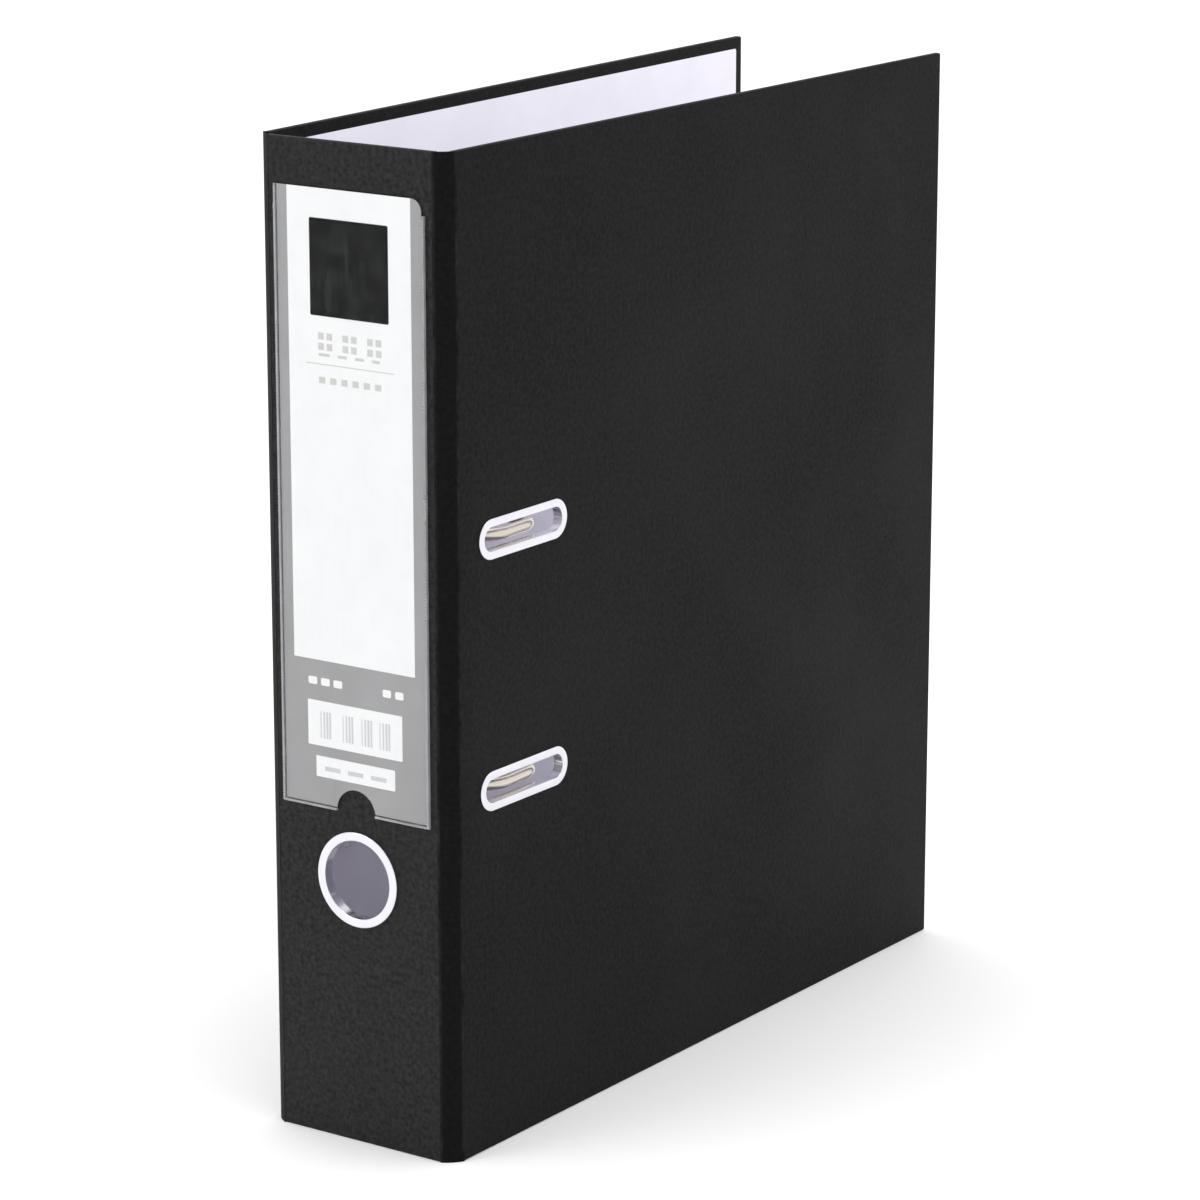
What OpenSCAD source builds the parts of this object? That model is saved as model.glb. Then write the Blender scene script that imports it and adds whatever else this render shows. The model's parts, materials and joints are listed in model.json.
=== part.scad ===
// Lever arch file for A4 sheets with two punched holes, closed and standing on its foot.
// Millimetres, +Z up. The origin is the middle of the spine's foot: X runs across the spine,
// Y runs from the spine to the fore edge, and the label faces -Y.
// The back cover carries the mechanism and leans out by a small splay angle.

/* [Case] */
// Height of all three panels
case_h = 318; // [312:1:325]
// Depth from the outside of the spine to the fore edge
case_d = 285; // [275:1:295]
// Width over both covers at the hinges
case_w = 73; // [72:0.5:76]
// Angle by which the back cover leans out
splay = 2.3; // [1.5:0.1:4]
// Width of the cloth hinge between spine and cover, across the spine
hinge_w = 4.8; // [4.6:0.1:5.5]
// Depth of the cloth hinge, along the cover
hinge_d = 4.6; // [4.4:0.1:5.5]

/* [Layers] */
// Thickness of the grey board
board_t = 2; // [1.6:0.1:2.2]
// Thickness of the covering
cloth_t = 0.3; // [0.2:0.05:0.4]
// Thickness of the liner paper
liner_t = 0.25; // [0.15:0.05:0.35]
// Width of the covering's turned-in margin
turn_in = 4; // [3:0.5:8]

/* [Slotted eyelets] */
// Distance between the two sheet holes
hole_pitch = 80; // [80:1:80]
// Overall length of an eyelet's flange
eyelet_l = 46; // [44:0.5:50]
// Overall height of an eyelet's flange
eyelet_h = 12.8; // [12:0.2:14]
// Width of the flange around the slot
eyelet_rim = 2.6; // [2.4:0.1:3]
// Distance from the spine's outside to the middle of the eyelet
eyelet_y = 37.8; // [36:0.2:40]
// How far the middle between the two eyelets is below the middle of the cover
eyelet_drop = 2; // [0:0.1:3]

/* [Finger ring] */
// Outer diameter of the ring's flange
ring_d = 31; // [28:0.2:34]
// Diameter of the finger hole
ring_bore_d = 25.2; // [22:0.2:27]
// Height of the ring's centre above the foot
ring_z = 87; // [75:1:90]

/* [Label] */
// Width of the film pocket
pocket_w = 57; // [50:1:60]
// Height of the film pocket
pocket_h = 195; // [180:1:200]
// Height of the pocket's lower edge above the foot
pocket_z = 108.5; // [106:0.5:112]
// Width of the welded seam
seam_w = 0.7; // [0.6:0.1:2]
// Thickness of the film
film_t = 0.2; // [0.15:0.05:0.3]
// Thickness of the printed card
card_t = 0.3; // [0.2:0.05:0.35]
// Radius of the half-round thumb notch
notch_r = 7.6; // [6:0.2:9]

/* [Mechanism] */
// Length of the base plate
plate_l = 148; // [140:1:156]
// Width of the base plate
plate_w = 44; // [43:1:46]
// Thickness of the base plate
plate_t = 1; // [0.8:0.1:1.2]
// How far the mechanism sits below the middle between the two eyelets
mech_drop = 1.5; // [0:0.1:1.5]
// Distance from the spine's outside to the arch axle
axle_y = 25; // [24:0.1:26]
// Height of the arch axle above the liner
axle_u = 5.2; // [5:0.1:5.6]
// Distance from the axle to the filing posts
post_reach = 27; // [26:0.5:28]
// Radius of the filing posts
post_r = 2.2; // [2.1:0.05:2.3]
// Radius of the arch wire
wire_r = 2; // [1.8:0.05:2]
// Height of the arch's flat top above the liner, at the wire's centre
arch_u = 66; // [60:0.1:66]
// Height at which arch and post meet
meet_u = 43; // [40:1:44]
// Sideways reach of the wire's crank
crank_reach = 15; // [14.5:0.1:15.5]
// Distance from the lever's pivot to its tip
lever_l = 52; // [48:1:52]
// Height of the compressor bar above the liner, in its lowest place
press_u = 9; // [8:0.5:12]

/* [Hidden] */
$fn = 48;

// Colours
black_cloth = [0.16, 0.16, 0.17];
hinge_black = [0.09, 0.09, 0.1];
grey_board = [0.55, 0.53, 0.5];
liner_paper = [0.86, 0.86, 0.9];
nickel = [0.85, 0.85, 0.87];
dark_nickel = [0.62, 0.62, 0.65];
clear_film = [0.85, 0.9, 0.92, 0.35];
card_grey = [0.66, 0.66, 0.67];
black_plastic = [0.08, 0.08, 0.08];
white_plastic = [0.9, 0.9, 0.88];

eps = 0.01;
wall = board_t + cloth_t + liner_t;
mid_z = case_h / 2;
half_out = case_w / 2;
half_in = half_out - wall;
spine_half = half_out - hinge_w;
pivot_x = half_out - hinge_w / 2;
pivot_y = hinge_d / 2;

// Eyelets and ring
eyelet_z = mid_z - eyelet_drop;
flange_t = 0.5;
washer_t = 0.4;
washer_step = 0.9;
barrel_t = 0.4;
slot_r = eyelet_h / 2 - eyelet_rim;
slot_straight = eyelet_l - eyelet_h;
ring_bore_r = ring_bore_d / 2;
ring_flange_t = 0.9;

// Label: gaps keep the sliding card clear of film and covering
card_gap = 0.35;
film_in = 2 * card_gap + card_t;
pocket_corner_r = 5;

// Mechanism, in the plate's own frame: u is the height above the back liner, v is Y
mech_z = eyelet_z - mech_drop;
post_v = axle_y + post_reach;
post_bend = 8;
leg_bend = 8.5;
foot_bend = 5;
crank_bend = 4;
crank_v = axle_y + crank_reach;
axle_run = 10;
meet_gap = 0.1;
meet_angle = atan2(post_reach, meet_u - axle_u);
run_clear = 0.06;
plate_v = axle_y - 5.5;
plate_corner_r = 5;
rivet_r = 1.9;
rivet_v = [plate_v + 8, plate_v + plate_w - 8];
rivet_dz = plate_l / 2 - 6.5;
bearing_dz = hole_pitch / 2 - 10;
bearing_t = 3;

// Leaf spring: its lower edge is spring_z above the middle of the mechanism
spring_t = 0.6;
spring_w = 8;
spring_z = -12;
spring_gap = 0.1;
spring_end_v = plate_v + plate_w - 3;
spring_rivet_v = spring_end_v - 4;
spring_rivet_r = 1.2;

// Lever: the roller sits off the pivot by roller_off, at roller_lead from straight down
roller_r = 3;
roller_w = 6;
roller_pin_r = 1;
roller_off = 3.4;
roller_lead = 61;
roller_gap = 0.1;
roller_u = axle_u + wire_r + roller_gap + roller_r;
lever_u = roller_u + roller_off * cos(roller_lead);
lever_z = mech_z + 6;
lever_sheet = 1.2;
lever_w = 9.8;
lever_tail_r = 4.5;
pivot_pin_r = 1.5;
lug_t = 1.5;
lug_gap = 0.1;
web_l = lever_l - 14;
grip_s = 34;
grip_w = 12;

// Compressor bar
press_t = 1.6;
press_w = 12.4;
press_shift = 2;
press_over = 12;
bush_r = 3.6;
bush_neck_r = 3;
bush_h = 4;

// ---------- placing ----------

// Moves what is measured from the spine's outside to the origin in the middle of its foot
module case_frame() {
    translate([0, -wall / 2, 0]) children();
}

// Swings the back cover, and all that it carries, out by the splay angle
module back_frame() {
    case_frame()
        translate([-pivot_x, pivot_y, 0])
            rotate([0, 0, splay])
                translate([pivot_x, -pivot_y, 0])
                    children();
}

// The plate's frame: X is the height above the back liner
module plate_frame() {
    back_frame() translate([-half_in, 0, 0]) children();
}

module box(low, high) {
    translate(low) cube(high - low);
}

// ---------- shapes used more than once ----------

// A round bar along X, Y or Z from a point
module bar_x(p, length, r) {
    translate(p) rotate([0, 90, 0]) cylinder(h = length, r = r);
}

module bar_y(p, length, r) {
    translate(p) rotate([-90, 0, 0]) cylinder(h = length, r = r);
}

module bar_z(p, length, r) {
    translate(p) cylinder(h = length, r = r);
}

// A quarter bend of the arch wire in its own XY plane, from +X round to +Y
module wire_bend(bend_r) {
    rotate_extrude(angle = 90) translate([bend_r, 0]) circle(r = wire_r);
}

// A slot along Y, cut or filled from x0 to x1
module slot_prism(x0, x1, r) {
    box([x0, -slot_straight / 2, -r], [x1, slot_straight / 2, r]);
    for (side = [-1, 1])
        bar_x([x0, side * slot_straight / 2, 0], x1 - x0, r);
}

// A flange around a slot, standing on x = 0 and reaching to x = t
module slot_flange(t, r_in, r_out) {
    difference() {
        slot_prism(0, t, r_out);
        slot_prism(-1, t + 1, r_in);
    }
}

module at_slots() {
    for (dz = [-hole_pitch / 2, hole_pitch / 2])
        translate([0, eyelet_y, eyelet_z + dz]) children();
}

// ---------- case ----------

module panel_board(x0, y0, y1) {
    box([x0, y0, cloth_t], [x0 + board_t, y1 - cloth_t, case_h - cloth_t]);
}

// The liner inside a cover, which starts at x0 and stops inside the turned-in margin
module panel_liner(x0, y0, y1) {
    box([x0, y0, turn_in], [x0 + liner_t, y1 - turn_in, case_h - turn_in]);
}

// The covering of the front cover: outer sheet, wrapped edges and turned-in margins
module panel_cloth() {
    difference() {
        box([half_in, hinge_d, 0], [half_out, case_d, case_h]);
        panel_board(half_in + liner_t, hinge_d - eps, case_d);
        box(
            [half_in - eps, hinge_d - eps, turn_in],
            [half_in + liner_t + eps, case_d - turn_in, case_h - turn_in]
        );
    }
}

module slot_cuts() {
    at_slots() slot_prism(half_in - 1, half_out + 1, slot_r + barrel_t);
}

module front_board() {
    color(grey_board) case_frame() difference() {
        panel_board(half_in + liner_t, hinge_d, case_d);
        slot_cuts();
    }
}

module front_cloth() {
    color(black_cloth) case_frame() difference() {
        panel_cloth();
        slot_cuts();
    }
}

module front_liner() {
    color(liner_paper) case_frame() difference() {
        panel_liner(half_in, hinge_d, case_d);
        slot_cuts();
    }
}

// Holes for the four rivets, through back cover and plate
module rivet_holes(u0, u1) {
    for (v = rivet_v, dz = [-rivet_dz, rivet_dz])
        bar_x([u0, v, mech_z + dz], u1 - u0, rivet_r);
}

module back_board() {
    color(grey_board) back_frame() difference() {
        mirror([1, 0, 0]) panel_board(half_in + liner_t, hinge_d, case_d);
        translate([-half_in, 0, 0]) rivet_holes(-wall - 1, 1);
    }
}

module back_cloth() {
    color(black_cloth) back_frame() difference() {
        mirror([1, 0, 0]) panel_cloth();
        translate([-half_in, 0, 0]) rivet_holes(-wall - 1, 1);
    }
}

module back_liner() {
    color(liner_paper) back_frame() difference() {
        mirror([1, 0, 0]) panel_liner(half_in, hinge_d, case_d);
        translate([-half_in, 0, 0]) rivet_holes(-wall - 1, 1);
    }
}

module ring_hole() {
    bar_y([0, -1, ring_z], wall + 2, ring_bore_r + barrel_t);
}

module spine_board() {
    color(grey_board) case_frame() difference() {
        box([-spine_half, cloth_t, cloth_t], [spine_half, cloth_t + board_t, case_h - cloth_t]);
        ring_hole();
    }
}

module spine_cloth() {
    color(black_cloth) case_frame() difference() {
        box([-spine_half, 0, 0], [spine_half, wall, case_h]);
        box([-spine_half - eps, cloth_t, cloth_t], [spine_half + eps, cloth_t + board_t, case_h - cloth_t]);
        box([-spine_half - eps, cloth_t, turn_in], [spine_half + eps, wall + eps, case_h - turn_in]);
        ring_hole();
    }
}

module spine_liner() {
    color(liner_paper) case_frame() difference() {
        box([-spine_half, cloth_t + board_t, turn_in], [spine_half, wall, case_h - turn_in]);
        ring_hole();
    }
}

// The flexible strip between spine and cover, as a folded band of even thickness
module hinge_strip() {
    linear_extrude(case_h)
        polygon([
            [spine_half, 0], [half_out, hinge_d],
            [half_out - cloth_t - liner_t, hinge_d], [spine_half, cloth_t + liner_t]
        ]);
}

module front_hinge_cloth() {
    color(hinge_black) case_frame() hinge_strip();
}

// The same strip on the other side, sheared open by the splay at its cover end
module back_hinge_cloth() {
    strip_t = cloth_t + liner_t;
    dx = half_out - pivot_x;
    dy = hinge_d - pivot_y;
    out_end = [-pivot_x - dx * cos(splay) - dy * sin(splay), pivot_y - dx * sin(splay) + dy * cos(splay)];
    in_end = out_end + strip_t * [cos(splay), sin(splay)];
    color(hinge_black) case_frame() linear_extrude(case_h)
        polygon([[-spine_half, 0], [-spine_half, strip_t], in_end, out_end]);
}

// ---------- spine fittings ----------

module finger_ring() {
    color(nickel) case_frame() translate([0, 0, ring_z]) rotate([90, 0, 0]) {
        rotate_extrude() {
            translate([ring_bore_r, 0]) square([ring_d / 2 - ring_bore_r - ring_flange_t / 2, ring_flange_t]);
            translate([ring_d / 2 - ring_flange_t / 2, ring_flange_t / 2]) circle(r = ring_flange_t / 2);
            translate([ring_bore_r, -wall]) square([barrel_t, wall + eps]);
        }
    }
}

module finger_ring_washer() {
    color(nickel) case_frame() translate([0, wall, ring_z]) rotate([-90, 0, 0])
        difference() {
            cylinder(h = washer_t, r = ring_d / 2 - washer_step);
            translate([0, 0, -1]) cylinder(h = washer_t + 2, r = ring_bore_r);
        }
}

// The outline of the pocket in X and Z, drawn in from its sides and its foot by inset. The upper
// corner towards the front cover is round.
module pocket_outline(inset) {
    r = pocket_corner_r - inset;
    half = pocket_w / 2 - inset;
    foot = pocket_z + inset;
    top = pocket_z + pocket_h;
    translate([-half, foot]) square([2 * half, top - r - foot]);
    translate([-half, foot]) square([2 * half - r, top - foot]);
    translate([half - r, top - r]) circle(r = r);
}

// Extrudes an outline drawn in X and Z from y0 towards -Y
module face_plate(y0, t) {
    translate([0, y0, 0]) rotate([90, 0, 0]) linear_extrude(t) children();
}

module label_pocket() {
    color(clear_film) case_frame() difference() {
        union() {
            face_plate(-film_in, film_t) pocket_outline(0);
            face_plate(0, film_in + film_t) difference() {
                pocket_outline(0);
                translate([-pocket_w / 2 + seam_w, pocket_z + seam_w])
                    square([pocket_w - 2 * seam_w, pocket_h]);
            }
        }
        bar_y([0, -film_in - film_t - 1, pocket_z], film_in + film_t + 2, notch_r);
    }
}

module label_card() {
    color(card_grey) case_frame() difference() {
        face_plate(-card_gap, card_t) pocket_outline(seam_w + card_gap);
        bar_y([0, -card_gap - card_t - 1, pocket_z], card_t + 2, notch_r);
    }
}

// ---------- front cover fittings ----------

module eyelet() {
    translate([half_out, 0, 0]) slot_flange(flange_t, slot_r, eyelet_h / 2);
    translate([half_in, 0, 0]) slot_flange(wall + eps, slot_r, slot_r + barrel_t);
}

module eyelet_washer() {
    translate([half_in - washer_t, 0, 0]) slot_flange(washer_t, slot_r, eyelet_h / 2 - washer_step);
}

module eyelet_upper() {
    color(nickel) case_frame() translate([0, eyelet_y, eyelet_z + hole_pitch / 2]) eyelet();
}

module eyelet_lower() {
    color(nickel) case_frame() translate([0, eyelet_y, eyelet_z - hole_pitch / 2]) eyelet();
}

module eyelet_washer_upper() {
    color(nickel) case_frame() translate([0, eyelet_y, eyelet_z + hole_pitch / 2]) eyelet_washer();
}

module eyelet_washer_lower() {
    color(nickel) case_frame() translate([0, eyelet_y, eyelet_z - hole_pitch / 2]) eyelet_washer();
}

// ---------- mechanism on the back cover ----------

module plate_outline() {
    r = plate_corner_r;
    translate([plate_v + r, -plate_l / 2]) square([plate_w - 2 * r, plate_l]);
    translate([plate_v, -plate_l / 2 + r]) square([plate_w, plate_l - 2 * r]);
    for (v = [plate_v + r, plate_v + plate_w - r], z = [-plate_l / 2 + r, plate_l / 2 - r])
        translate([v, z]) circle(r = r);
}

// A lug that stands on the plate and holds the axle wire
module bearing_lug(dz) {
    lug_r = wire_r + 2;
    z0 = mech_z + dz - bearing_t / 2;
    box([plate_t - eps, axle_y - lug_r, z0], [axle_u, axle_y + lug_r, z0 + bearing_t]);
    bar_z([axle_u, axle_y, z0], bearing_t, lug_r);
}

// A lug beside the lever that holds one pivot pin
module lever_lug(v0) {
    box([plate_t - eps, v0, lever_z - lever_tail_r], [lever_u, v0 + lug_t, lever_z + lever_tail_r]);
    bar_y([lever_u, v0, lever_z], lug_t, lever_tail_r);
}

module base_plate() {
    color(nickel) plate_frame() difference() {
        union() {
            translate([0, 0, mech_z]) rotate([90, 0, 90]) linear_extrude(plate_t) plate_outline();
            for (dz = [-bearing_dz, bearing_dz])
                bearing_lug(dz);
            lever_lug(crank_v - lever_w / 2 - lug_gap - lug_t);
            lever_lug(crank_v + lever_w / 2 + lug_gap);
        }
        rivet_holes(-1, plate_t + 1);
        for (dz = [-bearing_dz, bearing_dz])
            bar_z([axle_u, axle_y, mech_z + dz - bearing_t], 2 * bearing_t, wire_r + run_clear);
        bar_y([lever_u, crank_v - lever_w, lever_z], 2 * lever_w, pivot_pin_r);
    }
}

module mechanism_rivets() {
    outer_head_r = 4.2;
    inner_head_r = 3.2;
    head_t = 0.8;
    color(nickel) plate_frame() for (v = rivet_v, dz = [-rivet_dz, rivet_dz]) translate([0, v, mech_z + dz]) {
        bar_x([-wall, 0, 0], wall + plate_t, rivet_r);
        bar_x([-wall - head_t, 0, 0], head_t, outer_head_r);
        bar_x([plate_t, 0, 0], head_t, inner_head_r);
    }
}

// A filing post, cut where the arch meets it by a plane through the axle, so that the arch lifts
// straight off the cut
module post(dz) {
    foot_r = 4;
    foot_t = 1.4;
    z = mech_z + dz;
    color(nickel) plate_frame() {
        difference() {
            bar_x([plate_t, post_v, z], arch_u, post_r);
            translate([axle_u, axle_y, 0]) rotate([0, 0, meet_angle])
                translate([-arch_u, -2 * arch_u + meet_gap / 2, 0]) cube([3 * arch_u, 2 * arch_u, case_h]);
        }
        bar_x([plate_t, post_v, z], foot_t, foot_r);
    }
}

module post_upper() {
    post(hole_pitch / 2);
}

module post_lower() {
    post(-hole_pitch / 2);
}

// Leaf spring: flat where it is riveted, rising to the underside of the crank
module arch_spring() {
    tip_v = crank_v - 2;
    flat_end = crank_v + 12;
    lift = axle_u - wire_r - spring_t - spring_gap;
    color(dark_nickel) plate_frame() translate([0, 0, mech_z + spring_z])
        difference() {
            linear_extrude(spring_w)
                polygon([
                    [plate_t, spring_end_v], [plate_t, flat_end], [lift, tip_v],
                    [lift + spring_t, tip_v], [plate_t + spring_t, flat_end],
                    [plate_t + spring_t, spring_end_v]
                ]);
            bar_x([0, spring_rivet_v, spring_w / 2], 2 * plate_t + spring_t, spring_rivet_r);
        }
}

module spring_rivet() {
    color(nickel) plate_frame() translate([plate_t, spring_rivet_v, mech_z + spring_z + spring_w / 2]) {
        bar_x([0, 0, 0], spring_t, spring_rivet_r);
        bar_x([spring_t, 0, 0], spring_t, 2 * spring_rivet_r);
    }
}

module lever_pivot_pins() {
    head_r = 2.6;
    head_t = 0.8;
    near_lug = crank_v - lever_w / 2 - lug_gap - lug_t;
    far_lug = crank_v + lever_w / 2 + lug_gap;
    reach = lug_t + lug_gap + lever_sheet;
    color(nickel) plate_frame() {
        bar_y([lever_u, near_lug, lever_z], reach, pivot_pin_r);
        bar_y([lever_u, near_lug - head_t, lever_z], head_t, head_r);
        bar_y([lever_u, far_lug + lug_t - reach, lever_z], reach, pivot_pin_r);
        bar_y([lever_u, far_lug + lug_t, lever_z], head_t, head_r);
    }
}

// ---------- arch ----------

// One arch with its axle run and half of the crank, from the plane z = 0 downwards
module half_arch() {
    arch_z = -hole_pitch / 2;
    axle_end = arch_z + foot_bend + axle_run;
    cross_z = axle_end + crank_bend;
    bend_z = cross_z + crank_bend;
    difference() {
        bar_x([axle_u, post_v, arch_z], arch_u - post_bend - axle_u, wire_r);
        translate([axle_u, axle_y, arch_z]) rotate([0, 0, meet_angle])
            translate([-arch_u, -meet_gap / 2, -wire_r - 1]) cube([3 * arch_u, arch_u, 2 * wire_r + 2]);
    }
    translate([arch_u - post_bend, post_v - post_bend, arch_z]) wire_bend(post_bend);
    bar_y([arch_u, axle_y + leg_bend, arch_z], post_reach - leg_bend - post_bend, wire_r);
    translate([arch_u - leg_bend, axle_y + leg_bend, arch_z]) rotate([0, 0, -90]) wire_bend(leg_bend);
    bar_x([axle_u + foot_bend, axle_y, arch_z], arch_u - leg_bend - axle_u - foot_bend, wire_r);
    translate([axle_u + foot_bend, axle_y, arch_z + foot_bend]) rotate([90, 0, 0]) rotate([0, 0, 180])
        wire_bend(foot_bend);
    bar_z([axle_u, axle_y, arch_z + foot_bend], axle_run, wire_r);
    translate([axle_u, axle_y + crank_bend, axle_end]) rotate([0, -90, 0]) rotate([0, 0, -90])
        wire_bend(crank_bend);
    bar_y([axle_u, axle_y + crank_bend, cross_z], crank_reach - 2 * crank_bend, wire_r);
    translate([axle_u, crank_v - crank_bend, bend_z]) rotate([0, -90, 0]) rotate([0, 0, 90])
        wire_bend(crank_bend);
    bar_z([axle_u, crank_v, bend_z], -bend_z + eps, wire_r);
}

module arch_wire() {
    color(nickel) plate_frame() translate([0, 0, mech_z]) {
        half_arch();
        mirror([0, 0, 1]) half_arch();
    }
}

// ---------- lever ----------

// The lever's frame: the origin is its pivot, X runs to the tip and Y runs up
module lever_frame() {
    plate_frame() translate([lever_u, crank_v, lever_z])
        rotate([0, 90, 0]) rotate([90, 0, 0]) children();
}

// The side of the lever: deep round its pivot and the roller, slim towards the tip
module cheek_outline() {
    heel = [9, -3.4];
    waist = [26, 0.6];
    toe_x = lever_l - 5;
    circle(r = lever_tail_r);
    polygon([
        [0, -lever_tail_r], heel, waist, [toe_x, 1.4],
        [toe_x, 3.4], [web_l, lever_tail_r], [0, lever_tail_r]
    ]);
}

module lever() {
    half = lever_w / 2;
    roller_at = [roller_off * sin(roller_lead), -roller_off * cos(roller_lead), 0];
    color(nickel) lever_frame() difference() {
        union() {
            for (z0 = [-half, half - lever_sheet])
                translate([0, 0, z0]) linear_extrude(lever_sheet) cheek_outline();
            box([0, lever_tail_r - lever_sheet, -half], [web_l, lever_tail_r, half]);
        }
        translate([0, 0, -lever_w]) cylinder(h = 2 * lever_w, r = pivot_pin_r + run_clear);
        translate(roller_at) translate([0, 0, -lever_w]) cylinder(h = 2 * lever_w, r = roller_pin_r);
    }
}

// The grip closes over the end of the lever and turns up for the finger
module lever_grip() {
    half = grip_w / 2;
    face_y = lever_tail_r + 1.6;
    brow = [lever_l - 3, lever_tail_r + 2.4];
    nose_r = 2.6;
    nose = [lever_l - 2.8, 4.4, -half];
    chin = [[lever_l - 0.8, 3.6], [lever_l - 1.2, 1.2], [lever_l - 5, 0.4], [lever_l - 7, 0.6]];
    color(black_plastic) lever_frame() difference() {
        union() {
            linear_extrude(grip_w, center = true)
                polygon(concat([[grip_s, lever_tail_r - 0.1], [grip_s, face_y], brow], chin));
            translate(nose) cylinder(h = grip_w, r = nose_r);
        }
        for (z0 = [-lever_w / 2 - eps, lever_w / 2 - lever_sheet])
            translate([0, 0, z0]) linear_extrude(lever_sheet + eps) cheek_outline();
        box([0, lever_tail_r - lever_sheet, -lever_w / 2], [web_l, lever_tail_r, lever_w / 2]);
    }
}

module roller_pin() {
    color(dark_nickel) lever_frame()
        translate([roller_off * sin(roller_lead), -roller_off * cos(roller_lead), -lever_w / 2])
            cylinder(h = lever_w, r = roller_pin_r);
}

module roller() {
    edge = 0.6;
    color(white_plastic) lever_frame()
        translate([roller_off * sin(roller_lead), -roller_off * cos(roller_lead), -roller_w / 2])
            rotate_extrude() polygon([
                [roller_pin_r + run_clear, 0], [roller_r - edge, 0], [roller_r, edge],
                [roller_r, roller_w - edge], [roller_r - edge, roller_w], [roller_pin_r + run_clear, roller_w]
            ]);
}

// ---------- compressor ----------

module compressor_bar() {
    half_l = hole_pitch / 2 + press_over;
    v0 = press_shift - press_w / 2;
    v1 = press_shift + press_w / 2;
    lip_h = 3;
    color(dark_nickel) plate_frame() translate([press_u, post_v, mech_z]) difference() {
        union() {
            box([0, v0, -half_l], [press_t, v1, half_l]);
            box([0, v1 - press_t, -half_l], [press_t + lip_h, v1, half_l]);
        }
        for (dz = [-hole_pitch / 2, hole_pitch / 2])
            bar_x([-1, 0, dz], press_t + 2, bush_neck_r);
    }
}

module compressor_bush(dz) {
    color(black_plastic) plate_frame() translate([press_u, post_v, mech_z + dz]) difference() {
        union() {
            bar_x([0, 0, 0], press_t, bush_neck_r);
            bar_x([press_t, 0, 0], bush_h, bush_r);
        }
        bar_x([-1, 0, 0], press_t + bush_h + 2, post_r + run_clear);
    }
}

module compressor_bush_upper() {
    compressor_bush(hole_pitch / 2);
}

module compressor_bush_lower() {
    compressor_bush(-hole_pitch / 2);
}

spine_board();
spine_cloth();
spine_liner();
front_hinge_cloth();
back_hinge_cloth();
label_pocket();
label_card();
finger_ring();
finger_ring_washer();
front_board();
front_cloth();
front_liner();
eyelet_upper();
eyelet_lower();
eyelet_washer_upper();
eyelet_washer_lower();
back_board();
back_cloth();
back_liner();
base_plate();
mechanism_rivets();
post_upper();
post_lower();
arch_spring();
spring_rivet();
lever_pivot_pins();
arch_wire();
lever();
lever_grip();
roller_pin();
roller();
compressor_bar();
compressor_bush_upper();
compressor_bush_lower();
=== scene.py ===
"""Looks of an A4 lever arch file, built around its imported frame.

The case is three wrapped boards joined by two flexible strips. The spine carries a film pocket with
a printed card and a finger ring, the front cover two slotted eyelets, and the back cover the arch
mechanism. Everything is in metres, in the frame's own place.
"""

from __future__ import annotations

import json
import logging
import math
from contextlib import contextmanager
from dataclasses import dataclass
from enum import Enum, IntEnum
from typing import Callable, Iterator, Sequence

import bmesh
import bpy
from mathutils import Matrix, Vector
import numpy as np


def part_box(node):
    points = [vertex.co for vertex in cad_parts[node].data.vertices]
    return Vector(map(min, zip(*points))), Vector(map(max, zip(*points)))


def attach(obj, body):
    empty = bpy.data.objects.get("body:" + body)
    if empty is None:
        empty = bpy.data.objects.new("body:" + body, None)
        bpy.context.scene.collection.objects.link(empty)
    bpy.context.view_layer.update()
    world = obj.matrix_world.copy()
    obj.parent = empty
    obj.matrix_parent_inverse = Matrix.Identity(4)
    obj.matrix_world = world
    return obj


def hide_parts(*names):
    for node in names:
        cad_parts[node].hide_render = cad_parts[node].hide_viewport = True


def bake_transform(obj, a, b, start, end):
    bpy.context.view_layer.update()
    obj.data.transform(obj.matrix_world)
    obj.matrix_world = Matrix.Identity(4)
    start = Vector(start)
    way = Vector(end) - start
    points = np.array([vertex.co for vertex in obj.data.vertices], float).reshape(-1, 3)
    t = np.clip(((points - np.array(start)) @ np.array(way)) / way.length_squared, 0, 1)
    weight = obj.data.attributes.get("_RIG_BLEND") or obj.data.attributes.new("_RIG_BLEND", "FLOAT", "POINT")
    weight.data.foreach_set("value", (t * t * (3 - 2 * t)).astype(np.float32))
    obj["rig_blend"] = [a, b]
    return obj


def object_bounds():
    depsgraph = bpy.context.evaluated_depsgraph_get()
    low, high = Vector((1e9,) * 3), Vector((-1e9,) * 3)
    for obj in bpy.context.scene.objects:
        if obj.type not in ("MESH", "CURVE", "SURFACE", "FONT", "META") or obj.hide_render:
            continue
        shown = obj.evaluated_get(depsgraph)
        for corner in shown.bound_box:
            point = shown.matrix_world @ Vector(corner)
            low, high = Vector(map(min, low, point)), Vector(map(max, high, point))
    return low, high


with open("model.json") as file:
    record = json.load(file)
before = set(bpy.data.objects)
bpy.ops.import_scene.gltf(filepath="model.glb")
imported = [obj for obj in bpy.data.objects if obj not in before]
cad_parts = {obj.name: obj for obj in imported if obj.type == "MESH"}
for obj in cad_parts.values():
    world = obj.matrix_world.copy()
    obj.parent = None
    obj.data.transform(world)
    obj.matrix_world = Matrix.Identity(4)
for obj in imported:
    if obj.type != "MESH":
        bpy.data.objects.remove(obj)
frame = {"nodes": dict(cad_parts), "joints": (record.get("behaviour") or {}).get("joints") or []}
frame_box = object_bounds()

log = logging.getLogger("lever_arch_file")

MM = 0.001
TINY = 0.01 * MM
SMOOTH_ANGLE = math.radians(32)

Object = bpy.types.Object
Material = bpy.types.Material
Socket = bpy.types.NodeSocket
Node = bpy.types.Node
NodeTree = bpy.types.NodeTree
Colour = tuple[float, float, float, float]
Box = tuple[Vector, Vector]


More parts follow.
